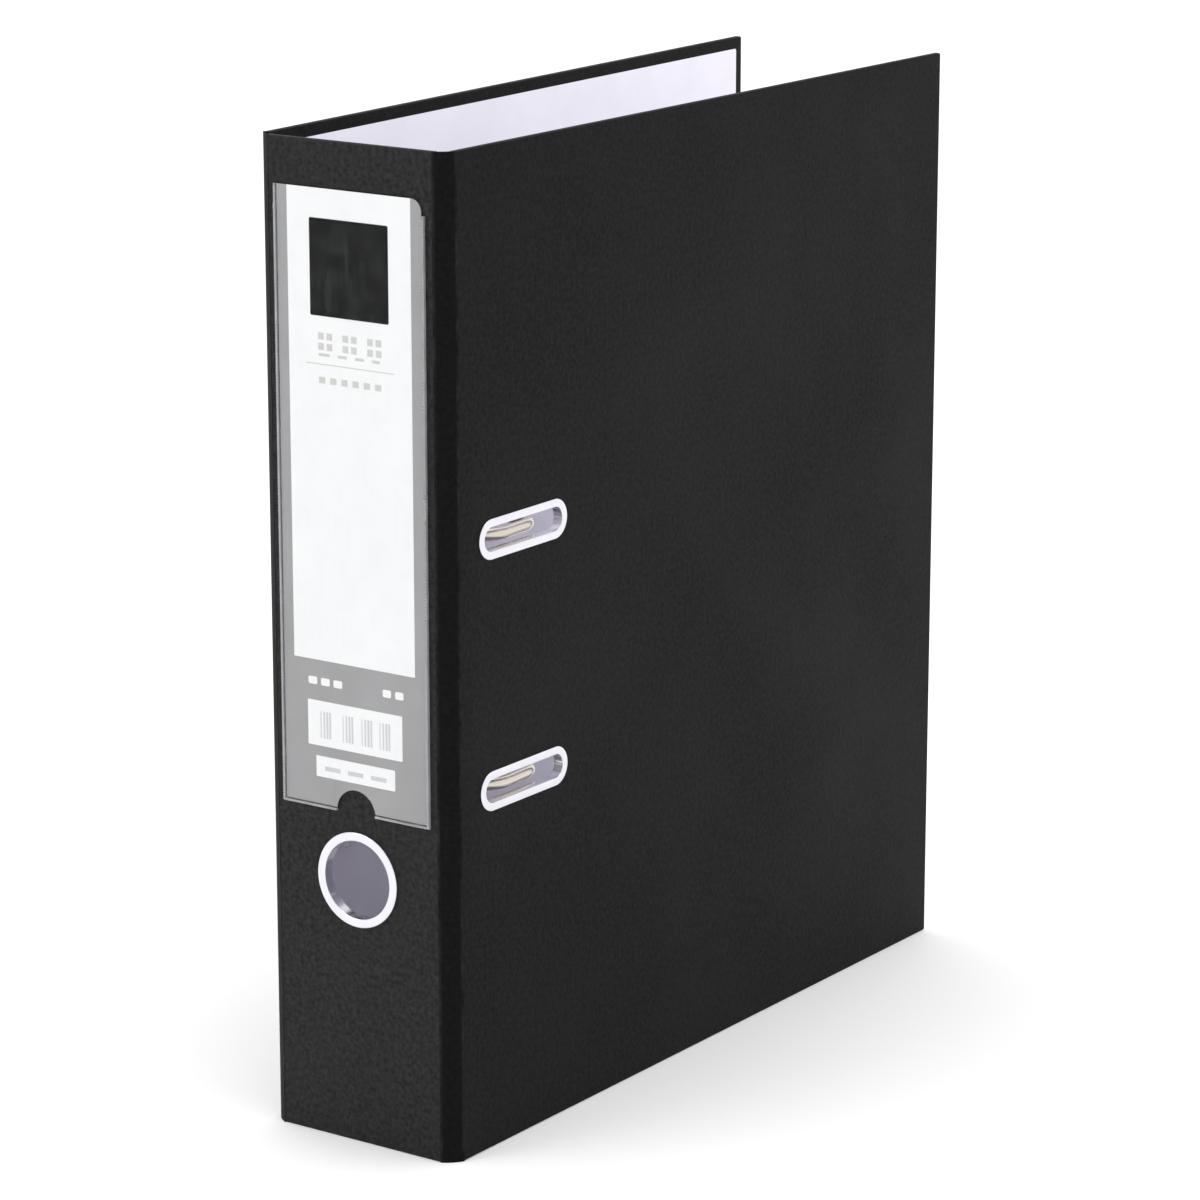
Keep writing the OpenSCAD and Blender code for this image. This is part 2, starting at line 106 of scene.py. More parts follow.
class Axis(IntEnum):
    """The three directions of the frame, as places in a vector."""

    X = 0
    Y = 1
    Z = 2


class Part(Enum):
    """What an edit mode selection is made of."""

    VERTICES = "VERT"
    EDGES = "EDGE"
    FACES = "FACE"


class Body(Enum):
    """The bodies of the frame that pieces ride on."""

    SPINE = "spine"
    FRONT_COVER = "front_cover"
    BACK_COVER = "back_cover"
    ARCH = "arch"
    LEVER = "lever"
    COMPRESSOR = "compressor"
    LABEL_CARD = "label_card"


# ---------- modelling ----------


def only(*pieces: Object) -> None:
    """Selects just these pieces and makes the first one active.

    Args:
        pieces: the pieces that the next operator works on.
    """
    bpy.ops.object.select_all(action="DESELECT")
    for piece in pieces:
        piece.select_set(True)
    bpy.context.view_layer.objects.active = pieces[0]


def settled(name: str) -> Object:
    """Names the primitive that was just added and puts its place into its mesh.

    Args:
        name: the new piece's name.

    Returns:
        The piece, with its object at the origin.
    """
    piece = bpy.context.active_object
    piece.name = name
    piece.data.name = name
    only(piece)
    bpy.ops.object.transform_apply(location=True, rotation=True, scale=True)
    return piece


def block(name: str, low: Sequence[float], high: Sequence[float]) -> Object:
    """Adds a box between two corners.

    Args:
        name: the piece's name.
        low: its lowest corner.
        high: its highest corner.

    Returns:
        The box, ready to be shaped.
    """
    low, high = Vector(low), Vector(high)
    bpy.ops.object.select_all(action="DESELECT")
    bpy.ops.mesh.primitive_cube_add(size=1, location=(low + high) / 2)
    bpy.context.active_object.scale = high - low
    return settled(name)


def rod(name: str, middle: Sequence[float], axis: Axis, length: float, radius: float,
        sides: int = 48) -> Object:
    """Adds a round bar along one axis.

    Args:
        name: the piece's name.
        middle: the bar's centre.
        axis: the direction that it runs in.
        length: its length.
        radius: its radius.
        sides: how many sides it has.

    Returns:
        The bar, ready to be shaped.
    """
    turns = {Axis.X: (0, math.pi / 2, 0), Axis.Y: (math.pi / 2, 0, 0), Axis.Z: (0, 0, 0)}
    bpy.ops.object.select_all(action="DESELECT")
    bpy.ops.mesh.primitive_cylinder_add(
        vertices=sides, radius=radius, depth=length, location=middle, rotation=turns[axis]
    )
    return settled(name)


@contextmanager
def shaping(piece: Object) -> Iterator[None]:
    """Opens a piece in edit mode and closes it again.

    Args:
        piece: the piece to shape.
    """
    only(piece)
    bpy.ops.object.mode_set(mode="EDIT")
    try:
        yield
    finally:
        bpy.ops.object.mode_set(mode="OBJECT")


def pick(part: Part, test: Callable[..., bool]) -> None:
    """Selects just the elements of the shaped piece that pass a test.

    Args:
        part: whether vertices, edges or faces are tested.
        test: says whether one element is wanted.
    """
    bpy.ops.mesh.select_mode(type=part.value)
    bpy.ops.mesh.select_all(action="DESELECT")
    data = bpy.context.edit_object.data
    mesh = bmesh.from_edit_mesh(data)
    mesh.normal_update()
    elements = {Part.VERTICES: mesh.verts, Part.EDGES: mesh.edges, Part.FACES: mesh.faces}[part]
    for element in [element for element in elements if test(element)]:
        element.select_set(True)
    mesh.select_flush_mode()
    bmesh.update_edit_mesh(data)


def runs_along(edge: bmesh.types.BMEdge, axis: Axis) -> bool:
    """Whether an edge is parallel to an axis."""
    step = edge.verts[1].co - edge.verts[0].co
    return abs(abs(step[axis]) - step.length) < TINY


def lies_at(element: bmesh.types.BMEdge | bmesh.types.BMFace, axis: Axis, place: float) -> bool:
    """Whether all of an edge or face lies in the plane at a place on an axis."""
    return all(abs(vert.co[axis] - place) < TINY for vert in element.verts)


def faces_to(face: bmesh.types.BMFace, axis: Axis, sign: int) -> bool:
    """Whether a face looks along an axis, forwards or backwards."""
    return face.normal[axis] * sign > 0.99


def is_sharp(edge: bmesh.types.BMEdge) -> bool:
    """Whether the two faces at an edge meet at an angle."""
    return len(edge.link_faces) == 2 and edge.calc_face_angle(0) > SMOOTH_ANGLE


def bevel(width: float, segments: int) -> None:
    """Rounds the selected edges.

    Args:
        width: how far the rounding reaches from the edge.
        segments: how many steps it has.
    """
    bpy.ops.mesh.bevel(offset=width, offset_type="OFFSET", segments=segments, affect="EDGES")


def finished_with(piece: Object, kind: str, **settings: object) -> None:
    """Adds a modifier to a piece and applies it.

    Args:
        piece: the piece.
        kind: the modifier's type.
        settings: its settings.
    """
    modifier = piece.modifiers.new(kind.lower(), kind)
    for key, value in settings.items():
        setattr(modifier, key, value)
    only(piece)
    bpy.ops.object.modifier_apply(modifier=modifier.name)


def cut(piece: Object, *cutters: Object) -> None:
    """Takes the shapes of the cutters out of a piece.

    Args:
        piece: the piece that is cut.
        cutters: closed shapes, which are used up.
    """
    for cutter in cutters:
        finished_with(piece, "BOOLEAN", operation="DIFFERENCE", solver="EXACT", object=cutter)
        bpy.data.objects.remove(cutter)


def fuse(piece: Object, *others: Object) -> None:
    """Grows other closed shapes into one skin with a piece.

    Args:
        piece: the piece that stays.
        others: the shapes to add, which are used up.
    """
    for other in others:
        finished_with(piece, "BOOLEAN", operation="UNION", solver="EXACT", object=other)
        bpy.data.objects.remove(other)


def joined(name: str, pieces: Sequence[Object]) -> Object:
    """Joins separate shapes into one piece.

    Args:
        name: the joined piece's name.
        pieces: what it is made of.

    Returns:
        The joined piece.
    """
    only(*pieces)
    if len(pieces) > 1:
        bpy.ops.object.join()
    piece = bpy.context.active_object
    piece.name = name
    piece.data.name = name
    return piece


def copied(piece: Object, name: str, offset: Sequence[float]) -> Object:
    """Copies a piece, with a mesh of its own, to another place.

    Args:
        piece: what is copied.
        name: the copy's name.
        offset: how far the copy is moved.

    Returns:
        The copy.
    """
    only(piece)
    bpy.ops.object.duplicate(linked=False)
    bpy.context.active_object.location = offset
    return settled(name)


def from_node(node: str, name: str, softening: float) -> Object:
    """Copies a frame node's mesh and softens its sharp edges, as tumbling leaves a stamped part.

    Args:
        node: the frame node.
        name: the new piece's name.
        softening: the width of the rounding along its edges.

    Returns:
        The new piece.
    """
    piece = bpy.data.objects.new(name, frame["nodes"][node].data.copy())
    bpy.context.scene.collection.objects.link(piece)
    only(piece)
    bpy.ops.mesh.customdata_custom_splitnormals_clear()
    with shaping(piece):
        bpy.ops.mesh.select_all(action="SELECT")
        bpy.ops.mesh.remove_doubles(threshold=TINY / 10)
        bpy.ops.mesh.dissolve_limited(angle_limit=math.radians(0.5))
    finished_with(
        piece, "BEVEL", width=softening, segments=3, limit_method="ANGLE", angle_limit=SMOOTH_ANGLE,
        use_clamp_overlap=True, harden_normals=False,
    )
    return piece


@dataclass(frozen=True)
class Swing:
    """The turn that takes what is built square to the spine to its real place.

    Attributes:
        pivot: a point on the upright axis of the turn.
        angle: the turn, in radians.
    """

    pivot: Vector
    angle: float = 0.0

    def matrix(self) -> Matrix:
        """The turn about the pivot, as a matrix."""
        return (
            Matrix.Translation(self.pivot)
            @ Matrix.Rotation(self.angle, 4, "Z")
            @ Matrix.Translation(-self.pivot)
        )

    def box(self, *nodes: str) -> Box:
        """The corners of some frame nodes, measured before the turn.

        Args:
            nodes: the nodes' names.

        Returns:
            The lowest and highest corner.
        """
        back = self.matrix().inverted()
        points = [back @ vert.co for node in nodes for vert in frame["nodes"][node].data.vertices]
        return (
            Vector([min(point[axis] for point in points) for axis in Axis]),
            Vector([max(point[axis] for point in points) for axis in Axis]),
        )

    def point(self, place: Sequence[float]) -> Vector:
        """Where a point is before the turn."""
        return self.matrix().inverted() @ Vector(place)

    def place(self, piece: Object) -> Object:
        """Turns a piece's mesh to its real place.

        Args:
            piece: a piece that was built square to the spine.

        Returns:
            The same piece.
        """
        if self.angle:
            piece.matrix_world = self.matrix()
            only(piece)
            bpy.ops.object.transform_apply(location=True, rotation=True, scale=True)
        return piece


def joint(name: str) -> dict:
    """The frame's joint of that name."""
    return next(entry for entry in frame["joints"] if entry["name"] == name)


def square() -> Swing:
    """The place of what isn't turned: the spine and the front cover."""
    return Swing(Vector(joint("front_cover_hinge")["pos_m"]))


def splayed() -> Swing:
    """The place of the back cover, whose splay shows in the way the compressor slides."""
    lift = joint("compressor_slide")["axis"]
    return Swing(Vector(joint("back_cover_hinge")["pos_m"]), math.atan2(lift[Axis.Y], lift[Axis.X]))


def dress(piece: Object, material: Material, body: Body, slot: str, *nodes: str) -> None:
    """Gives a finished piece its material and its place on a body.

    Args:
        piece: the finished piece.
        material: what it is made of.
        body: the body that it rides on.
        slot: the record's material slot; not used.
        nodes: the frame nodes that it stands for.
    """
    piece.data.materials.clear()
    piece.data.materials.append(material)
    only(piece)
    bpy.ops.object.shade_smooth_by_angle(angle=SMOOTH_ANGLE)
    if "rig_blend" not in piece:
        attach(piece, body.value)
    if nodes:
        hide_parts(*nodes)
    log.info("%s: %d faces on %s", piece.name, len(piece.data.polygons), body.value)


def redress(node: str, material: Material) -> None:
    """Gives a frame node whose shape stays a better material.

    Args:
        node: the frame node.
        material: its new material.
    """
    for place in frame["nodes"][node].material_slots:
        place.material = material
    log.info("%s: kept, with %s", node, material.name)


# ---------- node groups and finishes ----------


class Graph:
    """Adds and joins the nodes of one material or node group."""

    def __init__(self, tree: NodeTree, material: Material | None = None) -> None:
        """Works on one tree.

        Args:
            tree: the material's or group's tree.
            material: the material, if the tree is one's.
        """
        self.tree = tree
        self.material = material

    def feed(self, socket: Socket, value: object) -> None:
        """Links a socket to an output, or sets its value."""
        if isinstance(value, Socket):
            self.tree.links.new(value, socket)
        else:
            socket.default_value = value

    def add(self, kind: str, settings: dict | None = None, **inputs: object) -> Node:
        """Adds a node.

        Args:
            kind: the node's type, without its ShaderNode prefix.
            settings: properties of the node itself.
            inputs: sockets by name, with _ for a space, and a value or an output for each.

        Returns:
            The node.
        """
        node = self.tree.nodes.new("ShaderNode" + kind)
        for key, value in (settings or {}).items():
            setattr(node, key, value)
        for key, value in inputs.items():
            self.feed(node.inputs[key.replace("_", " ")], value)
        return node

    def math(self, operation: str, first: object, second: object = 0.0, clamp: bool = False) -> Socket:
        """Adds a Math node and returns its output."""
        node = self.add("Math", {"operation": operation, "use_clamp": clamp})
        self.feed(node.inputs[0], first)
        self.feed(node.inputs[1], second)
        return node.outputs[0]

    def vector(self, operation: str, first: object, second: object = (0, 0, 0)) -> Socket:
        """Adds a Vector Math node and returns its vector."""
        node = self.add("VectorMath", {"operation": operation})
        self.feed(node.inputs[0], first)
        self.feed(node.inputs[1], second)
        return node.outputs["Vector"]

    def span(self, value: object, low: float, high: float, start: float = 0.0, end: float = 1.0) -> Socket:
        """Maps a value's range from start to end onto low to high, and returns the output."""
        node = self.add("MapRange", Value=value, From_Min=start, From_Max=end, To_Min=low, To_Max=high)
        return node.outputs["Result"]

    def mixed(self, mask: object, first: object, second: object) -> Socket:
        """Mixes two colours by a mask and returns the colour."""
        node = self.add("Mix", {"data_type": "RGBA"})
        colours = [socket for socket in node.inputs if socket.type == "RGBA"]
        self.feed(node.inputs["Factor"], mask)
        self.feed(colours[0], first)
        self.feed(colours[1], second)
        return next(socket for socket in node.outputs if socket.type == "RGBA")

    def group(self, tree: NodeTree, **inputs: object) -> Node:
        """Places a node group.

        Args:
            tree: the group.
            inputs: its inputs, as in add().

        Returns:
            The group's node.
        """
        node = self.tree.nodes.new("ShaderNodeGroup")
        node.node_tree = tree
        for key, value in inputs.items():
            self.feed(node.inputs[key.replace("_", " ")], value)
        return node


def new_group(name: str, inputs: dict[str, str], outputs: Sequence[str]) -> tuple[Graph, dict, Node]:
    """Starts a shader node group.

    Args:
        name: the group's name.
        inputs: each input's name and socket type, such as Float or Vector.
        outputs: the names of its outputs, which are all masks or values.

    Returns:
        Its graph, its inputs by name, and the node that its outputs go into.
    """
    tree = bpy.data.node_groups.new(name, "ShaderNodeTree")
    for key, kind in inputs.items():
        tree.interface.new_socket(name=key, in_out="INPUT", socket_type="NodeSocket" + kind)
    for key in outputs:
        tree.interface.new_socket(name=key, in_out="OUTPUT", socket_type="NodeSocketFloat")
    given = tree.nodes.new("NodeGroupInput").outputs
    return Graph(tree), given, tree.nodes.new("NodeGroupOutput")


def grain_group() -> NodeTree:
    """An embossed grain: small pebbles with a finer tooth on them, and a slow change of tone."""
    graph, given, out = new_group(
        "embossed_grain", {"Position": "Vector", "Cells": "Float"}, ["Height", "Tone", "Speckle"]
    )
    pebbles = graph.add(
        "TexVoronoi", {"feature": "SMOOTH_F1"}, Vector=given["Position"], Scale=given["Cells"], Smoothness=0.6
    )
    tooth = graph.add(
        "TexNoise", Vector=given["Position"], Scale=graph.math("MULTIPLY", given["Cells"], 2.3), Detail=3.0
    )
    speckle = graph.add(
        "TexNoise", Vector=given["Position"], Scale=graph.math("MULTIPLY", given["Cells"], 0.45), Detail=3.0
    )
    cloud = graph.add("TexNoise", Vector=given["Position"], Scale=17.0, Detail=4.0, Roughness=0.55)
    height = graph.math("ADD", graph.math("MULTIPLY", pebbles.outputs["Distance"], 0.8), tooth.outputs["Fac"])
    graph.feed(out.inputs["Height"], height)
    graph.feed(out.inputs["Tone"], cloud.outputs["Fac"])
    graph.feed(out.inputs["Speckle"], speckle.outputs["Fac"])
    return graph.tree


def wear_group() -> NodeTree:
    """Rubbing along the outer edges of a box-shaped piece, broken up so that it isn't a clean line."""
    graph, given, out = new_group(
        "edge_wear", {"Position": "Vector", "Half Size": "Vector", "Reach": "Float"}, ["Mask"]
    )
    depth = graph.vector("SUBTRACT", given["Half Size"], graph.vector("ABSOLUTE", given["Position"]))
    parts = graph.add("SeparateXYZ", Vector=depth)
    near = [
        graph.math("SUBTRACT", 1.0, graph.math("DIVIDE", parts.outputs[axis], given["Reach"]), clamp=True)
        for axis in Axis
    ]
    total = graph.math("ADD", graph.math("ADD", near[0], near[1]), near[2])
    edge = graph.math("SUBTRACT", total, 1.0, clamp=True)
    patches = graph.add("TexNoise", Vector=given["Position"], Scale=160.0, Detail=5.0, Roughness=0.7)
    broken = graph.span(patches.outputs["Fac"], 0.0, 1.0, 0.35, 0.75)
    graph.feed(out.inputs["Mask"], graph.math("MULTIPLY", edge, broken, clamp=True))
    return graph.tree


def polish_group() -> NodeTree:
    """Drawn metal: long fine streaks, and a slow unevenness of the plating."""
    graph, given, out = new_group(
        "drawn_metal", {"Position": "Vector", "Density": "Float"}, ["Streaks", "Cloud"]
    )
    stretched = graph.vector("MULTIPLY", given["Position"], (1.0, 1.0, 0.06))
    streaks = graph.add("TexNoise", Vector=stretched, Scale=given["Density"], Detail=4.0, Roughness=0.6)
    cloud = graph.add("TexNoise", Vector=given["Position"], Scale=220.0, Detail=3.0)
    graph.feed(out.inputs["Streaks"], streaks.outputs["Fac"])
    graph.feed(out.inputs["Cloud"], cloud.outputs["Fac"])
    return graph.tree


def fibre_group() -> NodeTree:
    """Paper: fibres that cross each other, and a soft mottle."""
    graph, given, out = new_group(
        "paper_fibre", {"Position": "Vector", "Density": "Float"}, ["Height", "Mottle"]
    )
    upright = graph.vector("MULTIPLY", given["Position"], (1.0, 1.0, 0.15))
    level = graph.vector("MULTIPLY", given["Position"], (0.2, 0.2, 1.0))
    first = graph.add("TexNoise", Vector=upright, Scale=given["Density"], Detail=3.0, Distortion=0.4)
    second = graph.add("TexNoise", Vector=level, Scale=given["Density"], Detail=3.0, Distortion=0.4)
    mottle = graph.add("TexNoise", Vector=given["Position"], Scale=45.0, Detail=4.0, Roughness=0.6)
    graph.feed(out.inputs["Height"], graph.math("ADD", first.outputs["Fac"], second.outputs["Fac"]))
    graph.feed(out.inputs["Mottle"], mottle.outputs["Fac"])
    return graph.tree


@dataclass(frozen=True)
class Effects:
    """The node groups that the finishes share."""

    grain: NodeTree
    wear: NodeTree
    polish: NodeTree
    fibre: NodeTree


@dataclass(frozen=True)
class Finish:
    """What every finish has.

    Attributes:
        name: the material's name.
        colour: its main colour.
        roughness: how matt it is.
        specular: the strength of its reflection.
    """

    name: str
    colour: Colour
    roughness: float
    specular: float = 0.5

    def started(self, effects: Effects, low: Vector | None = None, high: Vector | None = None,
                turn: float = 0.0) -> tuple[Graph, Node, Socket]:
        """Starts the material with its shader and its coordinates.

        Args:
            effects: the shared node groups; not used.
            low: the lowest corner of the piece, where the pattern is centred on it.
            high: its highest corner.
            turn: the piece's turn about Z.

        Returns:
            The graph, the Principled BSDF and the position on the piece.
        """
        material = bpy.data.materials.new(self.name)
        material.use_nodes = True
        graph = Graph(material.node_tree, material)
        shader = material.node_tree.nodes["Principled BSDF"]
        shader.inputs["Base Color"].default_value = self.colour
        shader.inputs["Roughness"].default_value = self.roughness
        shader.inputs["Specular IOR Level"].default_value = self.specular
        place = graph.add("TexCoord").outputs["Object"]
        if low is not None and high is not None:
            place = graph.add(
                "Mapping", {"vector_type": "TEXTURE"},
                Vector=place, Location=(low + high) / 2, Rotation=(0, 0, turn),
            ).outputs["Vector"]
        return graph, shader, place

    def bumped(self, graph: Graph, shader: Node, height: Socket, depth: float) -> None:
        """Gives the surface relief.

        Args:
            graph: the material's graph.
            shader: its Principled BSDF.
            height: the relief.
            depth: the relief's depth in metres.
        """
        relief = graph.add("Bump", Height=height, Distance=depth, Strength=1.0)
        graph.feed(shader.inputs["Normal"], relief.outputs["Normal"])


@dataclass(frozen=True)
class Covering(Finish):
    """Embossed wrapping over the boards, slightly rubbed along its edges.

    Attributes:
        rubbed: the colour where it is rubbed.
        cells: pebbles of the grain per metre.
        depth: the depth of the grain.
        reach: how far the rubbing reaches from an edge.
    """

    rubbed: Colour = (0.02, 0.02, 0.021, 1.0)
    cells: float = 1500.0
    depth: float = 0.05 * MM
    reach: float = 0.6 * MM

    def material(self, effects: Effects, low: Vector, high: Vector, turn: float = 0.0) -> Material:
        """Builds the material for one box-shaped piece.

        Args:
            effects: the shared node groups.
            low: the piece's lowest corner, before its turn.
            high: its highest corner.
            turn: its turn about Z.

        Returns:
            The material.
        """
        graph, shader, place = self.started(effects, low, high, turn)
        grain = graph.group(effects.grain, Position=place, Cells=self.cells)
        wear = graph.group(effects.wear, Position=place, Half_Size=(high - low) / 2, Reach=self.reach)
        deep = tuple(0.2 * channel for channel in self.colour[:3]) + (1.0,)
        speckle = graph.span(grain.outputs["Speckle"], 0.0, 1.0, 0.3, 0.7)
        slow = graph.span(grain.outputs["Tone"], 0.7, 1.0, 0.3, 0.7)
        tone = graph.mixed(graph.math("MULTIPLY", speckle, slow), deep, self.colour)
        graph.feed(shader.inputs["Base Color"], graph.mixed(wear.outputs["Mask"], tone, self.rubbed))
        worn = graph.span(grain.outputs["Tone"], self.roughness - 0.06, self.roughness + 0.06, 0.3, 0.7)
        graph.feed(shader.inputs["Roughness"], worn)
        self.bumped(graph, shader, grain.outputs["Height"], self.depth)
        return graph.material


@dataclass(frozen=True)
class Paper(Finish):
    """Paper, card or print: matt, with fibres and a faint mottle.

    Attributes:
        mottle: how much the tone changes.
        fibres: fibres per metre.
    """

    mottle: float = 0.06
    fibres: float = 900.0

    def material(self, effects: Effects) -> Material:
        """Builds the material.

        Args:
            effects: the shared node groups.

        Returns:
            The material.
        """
        graph, shader, place = self.started(effects)
        fibre = graph.group(effects.fibre, Position=place, Density=self.fibres)
        shade = tuple(channel * (1 - self.mottle) for channel in self.colour[:3]) + (1.0,)
        mask = graph.span(fibre.outputs["Mottle"], 0.0, 1.0, 0.3, 0.7)
        graph.feed(shader.inputs["Base Color"], graph.mixed(mask, self.colour, shade))
        graph.feed(shader.inputs["Roughness"], graph.span(mask, self.roughness, self.roughness + 0.08))
        self.bumped(graph, shader, fibre.outputs["Height"], 0.006 * MM)
        return graph.material


@dataclass(frozen=True)
class Metal(Finish):
    """Plated or bare metal with drawn streaks.

    Attributes:
        streaks: streaks per metre.
        dullness: how much the streaks add to the roughness.
    """

    streaks: float = 2600.0
    dullness: float = 0.12

    def material(self, effects: Effects) -> Material:
        """Builds the material.

        Args:
            effects: the shared node groups.

        Returns:
            The material.
        """
        graph, shader, place = self.started(effects)
        shader.inputs["Metallic"].default_value = 1.0
        polish = graph.group(effects.polish, Position=place, Density=self.streaks)
        dark = tuple(0.9 * channel for channel in self.colour[:3]) + (1.0,)
        graph.feed(shader.inputs["Base Color"], graph.mixed(polish.outputs["Cloud"], dark, self.colour))
        dull = self.roughness + self.dullness
        rough = graph.span(polish.outputs["Streaks"], self.roughness, dull, 0.3, 0.7)
        graph.feed(shader.inputs["Roughness"], rough)
        self.bumped(graph, shader, polish.outputs["Streaks"], 0.003 * MM)
        return graph.material


@dataclass(frozen=True)
class Plastic(Finish):
    """Moulded plastic with a fine eroded skin.

    Attributes:
        depth: the depth of the skin's texture.
    """

    depth: float = 0.008 * MM

    def material(self, effects: Effects) -> Material:
        """Builds the material.

        Args:
            effects: the shared node groups.

        Returns:
            The material.
        """
        graph, shader, place = self.started(effects)
        skin = graph.group(effects.grain, Position=place, Cells=4200.0)
        dark = tuple(0.8 * channel for channel in self.colour[:3]) + (1.0,)
        graph.feed(shader.inputs["Base Color"], graph.mixed(skin.outputs["Tone"], dark, self.colour))
        rough = graph.span(skin.outputs["Tone"], self.roughness - 0.05, self.roughness + 0.08, 0.3, 0.7)
        graph.feed(shader.inputs["Roughness"], rough)
        self.bumped(graph, shader, skin.outputs["Height"], self.depth)
        return graph.material


@dataclass(frozen=True)
class Film(Finish):
    """Clear or frosted film.

    Attributes:
        clear: how opaque it is where it is clean.
        scuffed: how opaque it is where it is scuffed.
    """

    clear: float = 0.003
    scuffed: float = 0.02

    def material(self, effects: Effects) -> Material:
        """Builds the material.

        Args:
            effects: the shared node groups.

        Returns:
            The material.
        """
        graph, shader, place = self.started(effects)
        polish = graph.group(effects.polish, Position=place, Density=900.0)
        scuffs = graph.math("MULTIPLY", polish.outputs["Streaks"], polish.outputs["Cloud"])
        graph.feed(shader.inputs["Alpha"], graph.span(scuffs, self.clear, self.scuffed, 0.2, 0.4))
        rough = graph.span(scuffs, self.roughness, self.roughness + 0.15, 0.2, 0.4)
        graph.feed(shader.inputs["Roughness"], rough)
        self.bumped(graph, shader, polish.outputs["Cloud"], 0.002 * MM)
        return graph.material


@dataclass(frozen=True)
class Materials:
    """Every material of the file that isn't fitted to one piece."""

    liner: Material
    card: Material
    print_white: Material
    print_dark: Material
    print_grey: Material
    print_pale: Material
    film: Material
    weld: Material
    eyelet: Material
    plate: Material
    wire: Material
    spring: Material
    press: Material
    grip: Material
    bush: Material
    roller: Material


def all_materials(effects: Effects) -> Materials:
    """Builds every material that isn't fitted to one piece.

    Args:
        effects: the shared node groups.

    Returns:
        The materials.
    """
    return Materials(
        liner=Paper("liner_paper", (0.84, 0.82, 0.9, 1), 0.62, 0.3).material(effects),
        card=Paper("label_card", (0.285, 0.285, 0.29, 1), 0.5, 0.4, mottle=0.1).material(effects),
        print_white=Paper("print_white", (0.72, 0.725, 0.73, 1), 0.45, 0.4, mottle=0.03).material(effects),
        print_dark=Paper("print_dark", (0.004, 0.004, 0.004, 1), 0.6, 0.1).material(effects),
        print_grey=Paper("print_grey", (0.5, 0.5, 0.49, 1), 0.45, 0.4).material(effects),
        print_pale=Paper("print_pale", (0.5, 0.5, 0.53, 1), 0.45, 0.4).material(effects),
        film=Film("clear_film", (0.5, 0.52, 0.54, 1), 0.06, 0.6).material(effects),
        weld=Film("welded_film", (0.5, 0.51, 0.53, 1), 0.3, 0.5, clear=0.5, scuffed=0.65).material(effects),
        eyelet=Metal("nickel_plate", (0.75, 0.74, 0.79, 1), 0.16).material(effects),
        plate=Metal("nickel_steel", (0.52, 0.52, 0.54, 1), 0.2).material(effects),
        # Painted reflection: the chrome wire's base colour is tinted cream, to stand in for the warm
        # reflections that the wire shows.
        wire=Metal("wire_painted_reflection", (0.66, 0.61, 0.54, 1), 0.06).material(effects),
        spring=Metal("spring_steel", (0.36, 0.36, 0.38, 1), 0.3).material(effects),
        press=Metal("satin_steel", (0.56, 0.56, 0.58, 1), 0.3).material(effects),
        grip=Plastic("grip_plastic", (0.014, 0.014, 0.015, 1), 0.42).material(effects),
        bush=Plastic("bush_plastic", (0.02, 0.02, 0.022, 1), 0.45).material(effects),
        roller=Plastic("roller_nylon", (0.75, 0.74, 0.7, 1), 0.4).material(effects),
    )


# ---------- case ----------


@dataclass
class Panel:
    """One wrapped board of the case, with its liner.

    Attributes:
        name: the panel's name.
        body: the body that it rides on.
        nodes: the board and covering that it stands for.
        liner_node: the liner that it stands for.
        swing: how it is turned into place.
        across: the axis through its thickness.
        outside: which way along that axis its outside looks.
        edge_round: the rounding of the covering round the board's edges.
        corner_round: the radius of the corners at the fore edge.
        liner_proud: how far the liner stands over the turned-in margin.
    """

    name: str
    body: Body
    nodes: tuple[str, str]
    liner_node: str
    swing: Swing
    across: Axis
    outside: int
    edge_round: float = 0.6 * MM
    corner_round: float = 0.8 * MM
    liner_proud: float = 0.12 * MM

    def board(self, holes: Sequence[Object]) -> Object:
        """Models the board in its wrapping.

        Args:
            holes: the shapes of the holes through it.

        Returns:
            The panel, square to the spine.
        """
        low, high = self.swing.box(*self.nodes)
        if self.outside > 0:
            low[self.across] += self.liner_proud
        else:
            high[self.across] -= self.liner_proud
        piece = block(self.name, low, high)
        with shaping(piece):
            if self.across is Axis.X:
                pick(Part.EDGES, lambda edge: runs_along(edge, Axis.X) and lies_at(edge, Axis.Y, high.y))
                bevel(self.corner_round, 6)
            pick(
                Part.EDGES,
                lambda edge: is_sharp(edge)
                and any(lies_at(edge, self.across, corner[self.across]) for corner in (low, high)),
            )
            bevel(self.edge_round, 4)
        cut(piece, *holes)
        return piece

    def lining(self, holes: Sequence[Object]) -> Object:
        """Models the liner, with corners cut round.

        Args:
            holes: the shapes of the holes through it.

        Returns:
            The liner, square to the spine.
        """
        low, high = self.swing.box(self.liner_node)
        piece = block(self.liner_node + "_paper", low, high)
        with shaping(piece):
            if self.across is Axis.X:
                pick(Part.EDGES, lambda edge: runs_along(edge, Axis.X) and lies_at(edge, Axis.Y, high.y))
                bevel(self.corner_round, 5)
            inside = low if self.outside > 0 else high
            pick(Part.EDGES, lambda edge: is_sharp(edge) and lies_at(edge, self.across, inside[self.across]))
            bevel(0.06 * MM, 2)
        cut(piece, *holes)
        return piece

    def build(self, covering: Covering, effects: Effects, liner: Material,
              holes: Callable[[], list[Object]]) -> None:
        """Models and dresses the panel and its liner.

        Args:
            covering: the finish of the wrapping.
            effects: the shared node groups.
            liner: the liner's material.
            holes: makes the shapes of the holes, afresh for each piece.
        """
        low, high = self.swing.box(*self.nodes)
        black = covering.material(effects, low, high, self.swing.angle)
        dress(self.swing.place(self.board(holes())), black, self.body, "covering", *self.nodes)
        dress(self.swing.place(self.lining(holes())), liner, self.body, "liner", self.liner_node)


